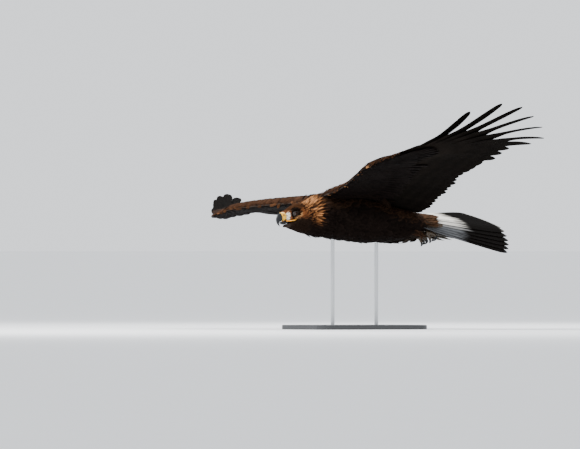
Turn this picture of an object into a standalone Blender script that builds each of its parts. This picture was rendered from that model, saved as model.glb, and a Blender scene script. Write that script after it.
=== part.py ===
"""A golden eagle gliding in a shallow bank, life size, on a plain display stand.

The bird is modelled level, in its own frame: X to its left, Y back towards the tail and Z up, with the
origin on the body's axis between the shoulders. One empty then gives the whole bird its bank, its
nose-up attitude and its height over the stand. The head has a frame of its own, midway between the
eyes, with its own turn and pitch.
"""

import math

import bmesh
import bpy
from mathutils import Matrix, Vector

# Attitude of the bird and height of its body's axis over the floor
BODY_HEIGHT = 0.36
BANK = math.radians(11.0)
NOSE_UP = math.radians(7.0)

# Gap kept between touching nodes
GAP = 0.0005

# Wing skeleton and planform, measured outward from the shoulder joint and backward from it
SHOULDER_X = 0.070
SHOULDER_Z = 0.040
WRIST_A = 0.360
WRIST_B = -0.105
DIGIT_A = 0.520
WING_ROOT_A = -0.040
CAMBER = 0.100
VANE_THICKNESS = 0.0011
SHINGLE = math.radians(7.0)

# Flight feathers of the wing
PRIMARIES = 10
PRIMARY_LENGTHS = (0.347, 0.364, 0.386, 0.459, 0.507, 0.509, 0.486, 0.451, 0.380, 0.260)
PRIMARY_SWEEP_TIP = math.radians(27.5)
PRIMARY_SWEEP_WRIST = math.radians(60.0)
PRIMARY_SWEEP_POWER = 1.66
PRIMARY_WIDTH = 0.050
NOTCH_FIRST = 0.50
NOTCH_STEP = 0.048
TIP_TURN_FROM = 0.55
TIP_TURN_TO = 0.90
SECONDARIES = 12
SECONDARY_WIDTH = 0.046
COVERT_WIDTH = 0.044

# Tail
TAIL_ROOT = (0.0, 0.285, 0.018)
TAIL_LENGTH = 0.325
TAIL_SPREAD = math.radians(24.3)
TAIL_TWIST = math.radians(35.0)
TAIL_ARCH = 0.06
TAIL_FEATHERS = 12

# Head
HEAD_PLACE = (0.0, -0.154, -0.015)
HEAD_PITCH = math.radians(19.0)
HEAD_TURN = math.radians(11.0)
HEAD_ROLL = math.radians(7.0)
EYE_X = 0.0180
EYE_RADIUS = 0.0105

# Stand
BASE_LENGTH = 0.40
BASE_WIDTH = 0.28
BASE_CORNER = 0.04
BASE_THICKNESS = 0.014
BASE_Y = 0.080
ROD_RADIUS = 0.006
ROD_PLACES = {"front": 0.000, "rear": 0.160}

# The two wings. From the primary by the wrist outwards, tip_rise is how far each tip bends up and
# tip_turn how many degrees it turns its front edge down. The arm's twist turns about the line at pivot
# and grows between the two places of twist_range
WINGS = {
    "left": {
        "side": 1.0,
        "arm_dihedral": math.radians(4.9),
        "hand_dihedral": math.radians(7.6),
        "curl": 2.6,
        "droop": 0.0154,
        "tip_rise": (0.004, 0.003, 0.000, -0.015, -0.022, 0.000, 0.030, 0.060, 0.083, 0.0855),
        "tip_turn": (0.0, 0.0, 0.0, 6.0, 7.0, 11.0, 10.0, 7.0, 3.0, 0.0),
        "forward": 0.0,
        "sweep": 0.0,
        "twist": math.radians(5.5),
        "pivot": 0.20,
        "twist_range": (-0.02, 0.30),
    },
    "right": {
        "side": -1.0,
        "arm_dihedral": math.radians(9.5),
        "hand_dihedral": math.radians(7.4),
        "curl": 1.22,
        "droop": 0.0,
        "tip_rise": (0.000, 0.004, 0.020, 0.041, 0.0585, 0.067, 0.0805, 0.0926, 0.0843, 0.0674),
        "tip_turn": (0.0,) * 10,
        "forward": math.radians(-0.7),
        "sweep": 0.009,
        "twist": math.radians(8.0),
        "pivot": 0.05,
        "twist_range": (0.10, 0.40),
    },
}

# Share of a feather's length, then of its width towards the wing's front and towards its back
FINGER_SHAPE = (
    (0.00, 0.16, 0.20),
    (0.20, 0.36, 0.52),
    (0.44, 0.40, 0.58),
    (0.58, 0.28, 0.34),
    (0.70, 0.26, 0.33),
    (0.82, 0.24, 0.32),
    (0.95, 0.17, 0.22),
    (1.00, 0.05, 0.06),
)
BROAD_SHAPE = (
    (0.00, 0.16, 0.20),
    (0.30, 0.42, 0.54),
    (0.70, 0.44, 0.60),
    (0.93, 0.30, 0.42),
    (1.00, 0.10, 0.13),
)
COVERT_SHAPE = (
    (0.00, 0.30, 0.36),
    (0.45, 0.50, 0.58),
    (0.86, 0.36, 0.44),
    (1.00, 0.12, 0.14),
)

# Flesh of the wing: place out along it, then chord, thickness above and thickness below
WING_FLESH = (
    (-0.04, 0.190, 0.0240, 0.0210),
    (0.10, 0.200, 0.0210, 0.0190),
    (0.24, 0.190, 0.0185, 0.0160),
    (0.36, 0.150, 0.0155, 0.0130),
    (0.44, 0.115, 0.0115, 0.0100),
    (0.53, 0.055, 0.0070, 0.0060),
)

# Body forms: place along the body, height of centre, half width, height above and depth below
TORSO_ROWS = (
    (-0.078, -0.012, 0.036, 0.034, 0.034),
    (-0.066, -0.011, 0.054, 0.050, 0.049),
    (-0.040, -0.009, 0.073, 0.064, 0.061),
    (0.000, -0.007, 0.087, 0.075, 0.069),
    (0.050, -0.005, 0.091, 0.077, 0.071),
    (0.120, -0.005, 0.084, 0.070, 0.069),
    (0.200, -0.004, 0.068, 0.058, 0.058),
    (0.260, 0.000, 0.053, 0.050, 0.047),
    (0.310, 0.002, 0.038, 0.038, 0.036),
    (0.345, 0.002, 0.016, 0.012, 0.018),
)
NECK_ROWS = (
    (-0.160, -0.052, 0.016, 0.008, 0.010),
    (-0.148, -0.049, 0.027, 0.015, 0.018),
    (-0.134, -0.042, 0.035, 0.024, 0.029),
    (-0.118, -0.030, 0.043, 0.038, 0.045),
    (-0.095, -0.018, 0.055, 0.055, 0.058),
    (-0.060, -0.010, 0.073, 0.068, 0.067),
    (-0.030, -0.007, 0.083, 0.0745, 0.0695),
)
HEAD_ROWS = (
    (-0.031, -0.003, 0.0115, 0.0115, 0.0120),
    (-0.022, -0.004, 0.0175, 0.0165, 0.0175),
    (-0.010, -0.004, 0.0240, 0.0220, 0.0220),
    (0.006, -0.003, 0.0295, 0.0260, 0.0260),
    (0.024, -0.002, 0.0340, 0.0285, 0.0300),
    (0.042, -0.001, 0.0350, 0.0285, 0.0310),
    (0.056, 0.000, 0.0300, 0.0240, 0.0260),
    (0.064, 0.001, 0.0180, 0.0140, 0.0150),
)
TAIL_ROWS = (
    (-0.030, 0.0, 0.024, 0.011, 0.014),
    (0.000, 0.0, 0.032, 0.021, 0.020),
    (0.045, 0.0, 0.042, 0.018, 0.033),
    (0.090, 0.0, 0.042, 0.011, 0.042),
    (0.125, 0.0, 0.028, 0.003, 0.014),
)

# Bill sections in the head's frame: culmen y and z, cutting edge y and z, half width
CERE_SECTIONS = (
    (-0.0270, 0.0095, -0.0270, -0.0150, 0.0110),
    (-0.0330, 0.0110, -0.0330, -0.0155, 0.0112),
    (-0.0390, 0.0112, -0.0385, -0.0158, 0.0104),
    (-0.0430, 0.0106, -0.0425, -0.0160, 0.0096),
)
HORN_SECTIONS = (
    (-0.0434, 0.0100, -0.0429, -0.0160, 0.0090),
    (-0.0495, 0.0084, -0.0470, -0.0165, 0.0083),
    (-0.0560, 0.0036, -0.0505, -0.0172, 0.0072),
    (-0.0612, -0.0046, -0.0532, -0.0186, 0.0059),
    (-0.0628, -0.0136, -0.0543, -0.0215, 0.0045),
    (-0.0600, -0.0232, -0.0538, -0.0262, 0.0028),
    (-0.0520, -0.0318, -0.0508, -0.0322, 0.0007),
)
LOWER_BILL_SECTIONS = (
    (-0.0250, -0.0170, -0.0250, -0.0225, 0.0090),
    (-0.0330, -0.0172, -0.0330, -0.0238, 0.0085),
    (-0.0410, -0.0174, -0.0410, -0.0240, 0.0072),
    (-0.0470, -0.0180, -0.0465, -0.0228, 0.0050),
    (-0.0496, -0.0194, -0.0492, -0.0212, 0.0022),
)

COLOURS = {
    "dark_brown": ((0.035, 0.022, 0.016), 0.75, 0.0),
    "flight_brown": ((0.022, 0.016, 0.014), 0.65, 0.0),
    "golden_nape": ((0.36, 0.19, 0.085), 0.75, 0.0),
    "head_brown": ((0.16, 0.085, 0.045), 0.75, 0.0),
    "leg_buff": ((0.40, 0.33, 0.25), 0.80, 0.0),
    "tail_white": ((0.70, 0.66, 0.60), 0.70, 0.0),
    "horn": ((0.035, 0.038, 0.045), 0.30, 0.0),
    "cere_yellow": ((0.80, 0.52, 0.08), 0.45, 0.0),
    "eye_brown": ((0.06, 0.030, 0.012), 0.08, 0.0),
    "toe_yellow": ((0.70, 0.48, 0.10), 0.50, 0.0),
    "stand_steel": ((0.10, 0.10, 0.11), 0.40, 1.0),
}


def clear_scene():
    for obj in list(bpy.data.objects):
        bpy.data.objects.remove(obj, do_unlink=True)


def new_collection(name, hidden=False):
    collection = bpy.data.collections.new(name)
    bpy.context.scene.collection.children.link(collection)
    collection.hide_render = hidden
    return collection


def collection_named(name):
    return bpy.data.collections[name]


def node_material(name):
    colour, roughness, metallic = COLOURS[name.split("__")[0]]
    made = bpy.data.materials.new(name)
    made.use_nodes = True
    shader = made.node_tree.nodes["Principled BSDF"]
    shader.inputs["Base Color"].default_value = (*colour, 1.0)
    shader.inputs["Roughness"].default_value = roughness
    shader.inputs["Metallic"].default_value = metallic
    return made


def mesh_object(name, points, faces, where):
    """A mesh object with its faces turned outwards, in the collection named `where`."""
    mesh = bpy.data.meshes.new(name)
    mesh.from_pydata([tuple(point) for point in points], [], faces)
    shaped = bmesh.new()
    shaped.from_mesh(mesh)
    bmesh.ops.recalc_face_normals(shaped, faces=shaped.faces)
    shaped.to_mesh(mesh)
    shaped.free()
    obj = bpy.data.objects.new(name, mesh)
    collection_named(where).objects.link(obj)
    if where == "cutters":
        obj.hide_render = True
        obj.display_type = "WIRE"
    return obj


def eased(rows, at):
    """The row of sizes at the place `at`, on a smooth curve through rows that start with their place."""
    if at <= rows[0][0]:
        return list(rows[0][1:])
    if at >= rows[-1][0]:
        return list(rows[-1][1:])
    k = max(i for i, row in enumerate(rows) if row[0] <= at)
    low, high = rows[k], rows[k + 1]
    before, after = rows[max(k - 1, 0)], rows[min(k + 2, len(rows) - 1)]
    span = high[0] - low[0]
    t = (at - low[0]) / span
    values = []
    for column in range(1, len(low)):
        slope_low = (high[column] - before[column]) / (high[0] - before[0]) * span
        slope_high = (after[column] - low[column]) / (after[0] - low[0]) * span
        value = (2 * t**3 - 3 * t**2 + 1) * low[column]
        value += (t**3 - 2 * t**2 + t) * slope_low
        value += (3 * t**2 - 2 * t**3) * high[column]
        value += (t**3 - t**2) * slope_high
        values.append(value)
    return values


def ring_solid(name, rings, where):
    """A closed solid through rings of points, alike in number, with a flat cap at each end."""
    sides = len(rings[0])
    faces = []
    for i in range(len(rings) - 1):
        for j in range(sides):
            a = i * sides + j
            b = i * sides + (j + 1) % sides
            faces.append((a, b, b + sides))
            faces.append((a, b + sides, a + sides))
    faces.append(tuple(range(sides)))
    faces.append(tuple(range((len(rings) - 1) * sides, len(rings) * sides)))
    return mesh_object(name, [point for ring in rings for point in ring], faces, where)


def body_solid(name, rows, count, sides, where, grow=0.0):
    """A form of upright egg-shaped rings from rows of place, centre, half width, height and depth."""
    start, end = rows[0][0] - grow, rows[-1][0] + grow
    rings = []
    for i in range(count):
        place = start + (end - start) * (1 - math.cos(math.pi * i / (count - 1))) / 2
        centre, half_width, up, down = eased(rows, place)
        ring = []
        for j in range(sides):
            angle = 2 * math.pi * j / sides
            reach = (up if math.sin(angle) > 0 else down) + grow
            across = (half_width + grow) * math.cos(angle)
            ring.append(Vector((across, place, centre + reach * math.sin(angle))))
        rings.append(ring)
    return ring_solid(name, rings, where)


def tube(name, path, sides, where, grow=0.0):
    """A round tapering limb along a path of (x, y, z, radius), with a flat cap at each end."""
    places = [Vector(stop[:3]) for stop in path]
    rings = []
    aside = Vector((0.9, 0.1, 0.3))
    for i, stop in enumerate(path):
        ahead = (places[min(i + 1, len(path) - 1)] - places[max(i - 1, 0)]).normalized()
        aside = (aside - ahead * aside.dot(ahead)).normalized()
        upward = aside.cross(ahead)
        radius = stop[3] + grow
        ring = []
        for j in range(sides):
            angle = 2 * math.pi * j / sides
            ring.append(places[i] + aside * math.cos(angle) * radius + upward * math.sin(angle) * radius)
        rings.append(ring)
    return ring_solid(name, rings, where)


def plate(name, top, bottom, where):
    """A thin closed solid between two grids of points, split into triangles alike on both faces."""
    rows, columns = len(top), len(top[0])
    points = [point for grid in (top, bottom) for row in grid for point in row]
    under = rows * columns
    faces = []
    for i in range(rows - 1):
        for j in range(columns - 1):
            a = i * columns + j
            b, c, d = a + 1, a + columns + 1, a + columns
            faces += [(a, b, c), (a, c, d)]
            faces += [(under + a, under + c, under + b), (under + a, under + d, under + c)]
    border = list(range(columns))
    border += [i * columns + columns - 1 for i in range(1, rows)]
    border += [(rows - 1) * columns + j for j in range(columns - 2, -1, -1)]
    border += [i * columns for i in range(rows - 2, 0, -1)]
    for here, after in zip(border, border[1:] + border[:1]):
        faces += [(here, under + here, under + after), (here, under + after, after)]
    return mesh_object(name, points, faces, where)


def apply_modifiers(obj):
    bpy.context.view_layer.update()
    graph = bpy.context.evaluated_depsgraph_get()
    finished = bpy.data.meshes.new_from_object(obj.evaluated_get(graph), depsgraph=graph)
    obj.modifiers.clear()
    obj.data = finished


def fuse(core, pieces, with_itself=True):
    """Joins every object of the collection `pieces` into the core with one union."""
    union = core.modifiers.new("fuse", "BOOLEAN")
    union.operation = "UNION"
    union.operand_type = "COLLECTION"
    union.collection = pieces
    union.solver = "EXACT"
    union.use_self = with_itself
    apply_modifiers(core)
    for piece in list(pieces.objects):
        bpy.data.objects.remove(piece, do_unlink=True)
    bpy.data.collections.remove(pieces)
    keep_largest(core)


def cut(node, cutter, with_itself=False):
    """Takes the cutter's form out of the node."""
    difference = node.modifiers.new("cut", "BOOLEAN")
    difference.operation = "DIFFERENCE"
    difference.object = cutter
    difference.solver = "EXACT"
    difference.use_self = with_itself
    apply_modifiers(node)
    keep_largest(node)


def keep_largest(obj):
    """Drops every closed surface of the mesh but the largest by volume."""
    shaped = bmesh.new()
    shaped.from_mesh(obj.data)
    bmesh.ops.remove_doubles(shaped, verts=shaped.verts, dist=1e-6)
    bmesh.ops.dissolve_degenerate(shaped, edges=shaped.edges, dist=1e-6)
    bmesh.ops.triangulate(shaped, faces=shaped.faces)
    unseen = set(shaped.faces)
    islands = []
    while unseen:
        queue = [unseen.pop()]
        island = []
        while queue:
            face = queue.pop()
            island.append(face)
            for edge in face.edges:
                for other in edge.link_faces:
                    if other in unseen:
                        unseen.remove(other)
                        queue.append(other)
        islands.append(island)
    islands.sort(key=island_volume)
    spare = [face for island in islands[:-1] for face in island]
    bmesh.ops.delete(shaped, geom=spare, context="FACES")
    shaped.to_mesh(obj.data)
    shaped.free()


def island_volume(faces):
    total = 0.0
    for face in faces:
        a, b, c = (vertex.co for vertex in face.verts)
        total += a.dot(b.cross(c)) / 6
    return abs(total)


# Wings


def leading_edge(a):
    """Where the wing's front edge lies at a place out along the wing."""
    rows = (
        (WING_ROOT_A, -0.0675),
        (0.10, -0.0757),
        (0.24, -0.1161),
        (WRIST_A, -0.1496),
        (0.44, -0.1371),
        (DIGIT_A + 0.01, -0.1084),
    )
    return eased(rows, a)[0]


def trailing_edge(a):
    """Where the tips of the inner flight feathers end."""
    rows = (
        (WING_ROOT_A, 0.3066),
        (0.05, 0.2934),
        (0.16, 0.2716),
        (0.26, 0.2516),
        (WRIST_A, 0.2227),
        (DIGIT_A, 0.2244),
    )
    return eased(rows, a)[0]


def wing_point(wing, a, b, lift=0.0):
    """A point of the wing sheet, a metres out and b metres behind the shoulder joint."""
    outer = max(a - WRIST_A, 0.0)
    rise = min(a, WRIST_A) * math.tan(wing["arm_dihedral"]) + outer * math.tan(wing["hand_dihedral"])
    lead, trail = leading_edge(a), trailing_edge(a)
    share = min(max((b - lead) / (trail - lead), 0.0), 1.0) ** 0.72
    fade = 1.0 - min(outer / 0.20, 1.0) ** 1.5
    arch = CAMBER * fade * 4 * share * (1 - share) * (trail - lead) * 0.5
    start, end = wing["twist_range"]
    rise += math.tan(wing["twist"]) * (b - wing["pivot"]) * min(max(a - start, 0.0) / (end - start), 1.0)
    drawn_back = wing["sweep"] * min(max(a, 0.0) / 0.5, 1.0) ** 2
    return Vector((wing["side"] * (SHOULDER_X + a), b + drawn_back, SHOULDER_Z + rise + arch + lift))


def notched(shape, notch):
    """The finger shape with its narrowing, drawn at 0.51 of the length, moved to the share `notch`."""
    rows = []
    for t, front_share, back_share in shape:
        moved = t * notch / 0.51 if t <= 0.51 else notch + (t - 0.51) * (1 - notch) / 0.49
        rows.append((moved, front_share, back_share))
    return rows


def tip_turned(turn, t):
    """Slope of a vane across its width at the share t of its length, with its tip turned by `turn`."""
    share = min(max((t - TIP_TURN_FROM) / (TIP_TURN_TO - TIP_TURN_FROM), 0.0), 1.0)
    return math.tan(SHINGLE - turn * share * share * (3 - 2 * share))


def wing_vane(wing, root, tip, width, shape, lifts, where, bend=0.0, droop=0.0, turn=0.0):
    """One feather laid on the wing sheet from root to tip, both given as places (a, b).

    lifts is the height over the sheet at root and tip, bend the further rise of the tip, droop the fall
    of its very end and turn the angle by which the tip's front edge is turned down.
    """
    along = Vector((tip[0] - root[0], tip[1] - root[1]))
    forward = Vector((along.y, -along.x)).normalized()
    top, bottom = [], []
    for t, front_share, back_share in shape:
        lift = lifts[0] + (lifts[1] - lifts[0]) * t + bend * t ** wing["curl"] - droop * t**8
        thick = VANE_THICKNESS * (1.0 - 0.5 * t)
        row_top, row_bottom = [], []
        for reach, ridge in ((-back_share, 0.0), (0.0, 0.0008), (front_share, 0.0)):
            across = reach * width
            a = root[0] + along.x * t + forward.x * across
            b = root[1] + along.y * t + forward.y * across
            height = lift + across * tip_turned(turn, t) + ridge
            row_top.append(wing_point(wing, a, b, height + thick / 2))
            row_bottom.append(wing_point(wing, a, b, height - thick / 2))
        top.append(row_top)
        bottom.append(row_bottom)
    return plate("vane", top, bottom, where)


def primary_places(wing, number):
    """Root and tip of primary feather `number`, counted from 1 at the wrist to 10 at the front."""
    out = (number - 1) / (PRIMARIES - 1)
    root_a = WRIST_A + 0.018 + out * (DIGIT_A - WRIST_A - 0.030)
    root = Vector((root_a, WRIST_B + 0.032 - 0.022 * out))
    sweep = PRIMARY_SWEEP_TIP + (PRIMARY_SWEEP_WRIST - PRIMARY_SWEEP_TIP) * (1 - out) ** PRIMARY_SWEEP_POWER
    sweep -= wing["forward"] * out
    return root, root + PRIMARY_LENGTHS[number - 1] * Vector((math.cos(sweep), math.sin(sweep)))


def secondary_places(number):
    """Root and tip of secondary feather `number`, counted from 0 at the wrist inwards."""
    inward = number / (SECONDARIES - 1)
    a = WRIST_A - 0.012 - inward * (WRIST_A - 0.020)
    lead, trail = leading_edge(a), trailing_edge(a)
    root = Vector((a, lead + 0.30 * (trail - lead)))
    lean = math.radians(29.0) * (1 - inward) ** 1.5 - math.radians(2.0)
    tip_a = a + math.tan(lean) * (trail - root.y)
    return root, Vector((tip_a, trailing_edge(tip_a)))


def wing_core(name, wing, start, end, count):
    """The fleshy front of the wing with the small coverts on it, as sections out along the wing."""
    profile = (
        (0.00, 0.00, 0.00),
        (0.06, 0.55, 0.40),
        (0.22, 1.00, 0.60),
        (0.55, 0.78, 0.50),
        (1.00, 0.16, 0.16),
    )
    rings = []
    for i in range(count):
        a = start + (end - start) * i / (count - 1)
        lead = leading_edge(a)
        chord, top, under = eased(WING_FLESH, a)
        ring = [wing_point(wing, a, lead + share * chord, up * top) for share, up, down in profile]
        for share, up, down in reversed(profile[1:]):
            ring.append(wing_point(wing, a, lead + share * chord, -down * under))
        rings.append(ring)
    return ring_solid(name, rings, "golden_eagle")


def arm_node(label, wing, cutters):
    """The arm with its secondaries and a tier of greater coverts above and below."""
    core = wing_core(f"wing_{label}_arm", wing, WING_ROOT_A, WRIST_A + 0.07, 10)
    pieces = new_collection("pieces")
    for number in range(SECONDARIES):
        root, tip = secondary_places(number)
        along = tip - root
        wing_vane(wing, root, tip, SECONDARY_WIDTH, BROAD_SHAPE, (0.0, 0.0), "pieces")
        near = root + 0.04 * along
        if number % 2 == 1:
            far = root + 0.46 * along
            wing_vane(wing, near, far, 1.7 * COVERT_WIDTH, COVERT_SHAPE, (0.006, 0.0075), "pieces")
        else:
            far = root + 0.42 * along
            wing_vane(wing, near, far, 1.8 * COVERT_WIDTH, COVERT_SHAPE, (-0.006, -0.0075), "pieces")
    fuse(core, pieces)
    for cutter in cutters:
        cut(core, cutter, with_itself=True)
    return core


def hand_node(label, wing, cutters):
    """The hand with its ten primaries, their coverts and the alula."""
    core = wing_core(f"wing_{label}_hand", wing, WRIST_A - 0.07, DIGIT_A + 0.010, 8)
    pieces = new_collection("pieces")
    for number in range(1, PRIMARIES + 1):
        root, tip = primary_places(wing, number)
        shape = BROAD_SHAPE
        if number > 4:
            shape = notched(FINGER_SHAPE, NOTCH_FIRST + NOTCH_STEP * (PRIMARIES - number))
        bend = wing["tip_rise"][number - 1]
        turn = math.radians(wing["tip_turn"][number - 1])
        wing_vane(wing, root, tip, PRIMARY_WIDTH, shape, (0.0, 0.0), "pieces", bend, wing["droop"], turn)
        along = tip - root
        bend *= 0.34 ** wing["curl"]
        if number < PRIMARIES:
            end = root + 0.34 * along
            wing_vane(wing, root, end, COVERT_WIDTH, COVERT_SHAPE, (0.005, 0.007), "pieces", bend)
        if number % 2 == 1 and number < PRIMARIES:
            end = root + 0.32 * along
            wing_vane(wing, root, end, 1.6 * COVERT_WIDTH, COVERT_SHAPE, (-0.005, -0.007), "pieces", bend)
    fuse(core, pieces)
    for cutter in cutters:
        cut(core, cutter, with_itself=True)
    return core


def wrist_cutter(name, wing, outward_part):
    """A block on one side of the slanting line between the last secondary and the first primary."""
    root = (secondary_places(0)[0] + primary_places(wing, 1)[0]) / 2
    tip = (secondary_places(0)[1] + primary_places(wing, 1)[1]) / 2
    along = (tip - root).normalized()
    outward = Vector((along.y, -along.x))
    sign = 1.0 if outward_part else -1.0
    points = []
    for far in (-GAP / 2, 0.6):
        for run in (-0.6, 0.6):
            for z in (-0.6, 0.6):
                place = root + along * run + outward * sign * far
                place.y += wing["sweep"] * (WRIST_A / 0.5) ** 2
                points.append((wing["side"] * (SHOULDER_X + place.x), place.y, z))
    faces = [(0, 1, 3, 2), (4, 6, 7, 5), (0, 4, 5, 1), (2, 3, 7, 6), (0, 2, 6, 4), (1, 5, 7, 3)]
    return mesh_object(name, points, faces, "cutters")


# Tail


def tail_vane(place, length, width, shape, lift, where):
    """One tail feather at `place`, from -1 at the right edge to 1 at the left edge of the fan."""
    angle = place * TAIL_SPREAD
    along = Vector((math.sin(angle), math.cos(angle), 0.0))
    across = Vector((along.y, -along.x, 0.0))
    order = 0.015 * (1 - abs(place))
    top, bottom = [], []
    for t, front_share, back_share in shape:
        thick = VANE_THICKNESS * (1 - 0.5 * t)
        row_top, row_bottom = [], []
        for reach, ridge in ((-back_share, 0.0), (0.0, 0.0006), (front_share, 0.0)):
            point = Vector((place * 0.021, 0.006, 0.0)) + along * (t * length) + across * (reach * width)
            height = lift + order * min(t * length / 0.07, 1.0) - TAIL_ARCH * abs(point.x) + ridge
            row_top.append(point + Vector((0.0, 0.0, height + thick / 2)))
            row_bottom.append(point + Vector((0.0, 0.0, height - thick / 2)))
        top.append(row_top)
        bottom.append(row_bottom)
    return plate("vane", top, bottom, where)


def tail_node(cutters):
    """Twelve fanned tail feathers, twisted about the body's axis, with coverts over and under them."""
    core = body_solid("tail", TAIL_ROWS, 6, 12, "golden_eagle")
    pieces = new_collection("pieces")
    for number in range(TAIL_FEATHERS):
        place = number / (TAIL_FEATHERS - 1) * 2 - 1
        length = TAIL_LENGTH * (1 - 0.055 * place**2)
        tail_vane(place, length, 0.050, BROAD_SHAPE, 0.0, "pieces")
    for number in range(6):
        place = (number / 5 * 2 - 1) * 0.8
        tail_vane(place, 0.130 - 0.02 * abs(place), 0.050, COVERT_SHAPE, 0.0085, "pieces")
        tail_vane(place, 0.150 - 0.02 * abs(place), 0.050, COVERT_SHAPE, -0.0105, "pieces")
    fuse(core, pieces)
    core.data.transform(Matrix.Translation(TAIL_ROOT) @ Matrix.Rotation(TAIL_TWIST, 4, "Y"))
    for cutter in cutters:
        cut(core, cutter, with_itself=True)
    return core


# Head


def head_matrix():
    place = Matrix.Translation(HEAD_PLACE)
    turn = Matrix.Rotation(HEAD_TURN, 4, "Z")
    pitch = Matrix.Rotation(HEAD_PITCH, 4, "X")
    roll = Matrix.Rotation(HEAD_ROLL, 4, "Y")
    return place @ turn @ pitch @ roll


def bill_solid(name, sections, sides, where, grow=0.0):
    """A form of upright sections of the bill, narrower above than below."""
    rings = []
    for top_y, top_z, low_y, low_z, half_width in sections:
        high, low = Vector((0.0, top_y, top_z)), Vector((0.0, low_y, low_z))
        middle = (high + low) / 2
        upright = (high - low) / 2
        upright *= 1 + grow / upright.length
        ring = []
        for j in range(sides):
            angle = 2 * math.pi * j / sides
            lean = math.sin(angle)
            narrow = 1.0 - 0.16 * max(lean, 0.0) + 0.10 * max(-lean, 0.0)
            across = (half_width + grow) * math.cos(angle) * narrow
            ring.append(middle + upright * lean + Vector((across, 0.0, 0.0)))
        rings.append(ring)
    return ring_solid(name, rings, where)


def gape_path(side):
    """The flange of the mouth's corner, from the cere back under the eye."""
    return (
        (side * 0.0088, -0.0300, -0.0180, 0.0016),
        (side * 0.0125, -0.0220, -0.0192, 0.0017),
        (side * 0.0172, -0.0110, -0.0203, 0.0017),
        (side * 0.0215, -0.0010, -0.0208, 0.0015),
        (side * 0.0238, 0.0050, -0.0206, 0.0011),
    )


def ball(name, centre, radius, where, grow=0.0, squash=(1.0, 1.0, 1.0), segments=12, rings=8):
    shaped = bmesh.new()
    bmesh.ops.create_uvsphere(shaped, u_segments=segments, v_segments=rings, radius=1.0)
    for vertex in shaped.verts:
        reach = [radius * share + grow for share in squash]
        vertex.co = Vector([value * extent for value, extent in zip(vertex.co, reach)]) + Vector(centre)
    mesh = bpy.data.meshes.new(name)
    shaped.to_mesh(mesh)
    shaped.free()
    obj = bpy.data.objects.new(name, mesh)
    collection_named(where).objects.link(obj)
    if where == "cutters":
        obj.hide_render = True
        obj.display_type = "WIRE"
    return obj


def lid_ring(name, side, where):
    """The feathered rim round the eye."""
    count, sides = 14, 6
    middle = side * (EYE_X + 0.0052)
    points = []
    faces = []
    for i in range(count):
        angle = 2 * math.pi * i / count
        out = Vector((0.0, math.cos(angle), math.sin(angle)))
        for j in range(sides):
            around = 2 * math.pi * j / sides
            reach = 0.0096 + 0.0019 * math.cos(around)
            points.append(Vector((middle + side * 0.0026 * math.sin(around), 0.0, 0.0)) + out * reach)
    for i in range(count):
        for j in range(sides):
            a = i * sides + j
            b = i * sides + (j + 1) % sides
            c = (i + 1) % count * sides + (j + 1) % sides
            d = (i + 1) % count * sides + j
            faces += [(a, b, c), (a, c, d)]
    return mesh_object(name, points, faces, where)


def head_nodes():
    """Head, eyes, cere and bill, all built in the head's frame and then set in the bird's."""
    head = body_solid("head", HEAD_ROWS, 11, 20, "golden_eagle")
    pieces = new_collection("pieces")
    for side in (1.0, -1.0):
        lid_ring("lid", side, "pieces")
        brow = (
            (side * 0.0150, -0.0200, 0.0085, 0.0022),
            (side * 0.0215, -0.0120, 0.0105, 0.0038),
            (side * 0.0262, -0.0020, 0.0118, 0.0042),
            (side * 0.0280, 0.0090, 0.0112, 0.0036),
            (side * 0.0285, 0.0180, 0.0090, 0.0020),
        )
        tube("brow", brow, 8, "pieces")
    fuse(head, pieces)
    eyes = []
    for label, side in (("left", 1.0), ("right", -1.0)):
        centre = (side * EYE_X, 0.0, 0.0)
        eyes.append(ball(f"eye_{label}", centre, EYE_RADIUS, "golden_eagle"))
        cut(head, ball(f"eye_{label}_pocket", centre, EYE_RADIUS, "cutters", grow=GAP))
    cere = bill_solid("cere", CERE_SECTIONS, 14, "golden_eagle")
    pieces = new_collection("pieces")
    for side in (1.0, -1.0):
        tube("gape", gape_path(side), 6, "pieces")
    fuse(cere, pieces)
    lower = bill_solid("bill_lower", LOWER_BILL_SECTIONS, 12, "golden_eagle")
    upper = bill_solid("bill_upper", HORN_SECTIONS, 14, "golden_eagle")
    for side in (1.0, -1.0):
        nostril = (side * 0.0111, -0.0368, 0.0022)
        cut(cere, ball("nostril", nostril, 0.0030, "cutters", squash=(0.6, 0.65, 1.0), segments=8, rings=6))
        cut(lower, tube("gape_clear_low", gape_path(side), 6, "cutters", grow=GAP))
        cut(head, tube("gape_clear", gape_path(side), 6, "cutters", grow=GAP))
    cut(head, bill_solid("cere_clear", CERE_SECTIONS, 14, "cutters", grow=GAP))
    cut(head, bill_solid("lower_clear", LOWER_BILL_SECTIONS, 12, "cutters", grow=GAP))
    nodes = [head, *eyes, cere, upper, lower]
    for node in nodes:
        node.data.transform(head_matrix())
    return nodes


# Legs


def leg_path(side):
    return (
        (side * 0.036, 0.130, -0.020, 0.016),
        (side * 0.040, 0.170, -0.032, 0.023),
        (side * 0.037, 0.215, -0.035, 0.020),
        (side * 0.032, 0.260, -0.035, 0.015),
        (side * 0.029, 0.298, -0.033, 0.010),
        (side * 0.028, 0.316, -0.030, 0.008),
    )


TOES = {
    "inner": (-0.62, 0.9, 0.0),
    "middle": (0.0, 1.0, 0.0),
    "outer": (0.62, 0.9, 0.0),
    "hind": (-0.10, 0.45, 0.30),
}


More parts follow.
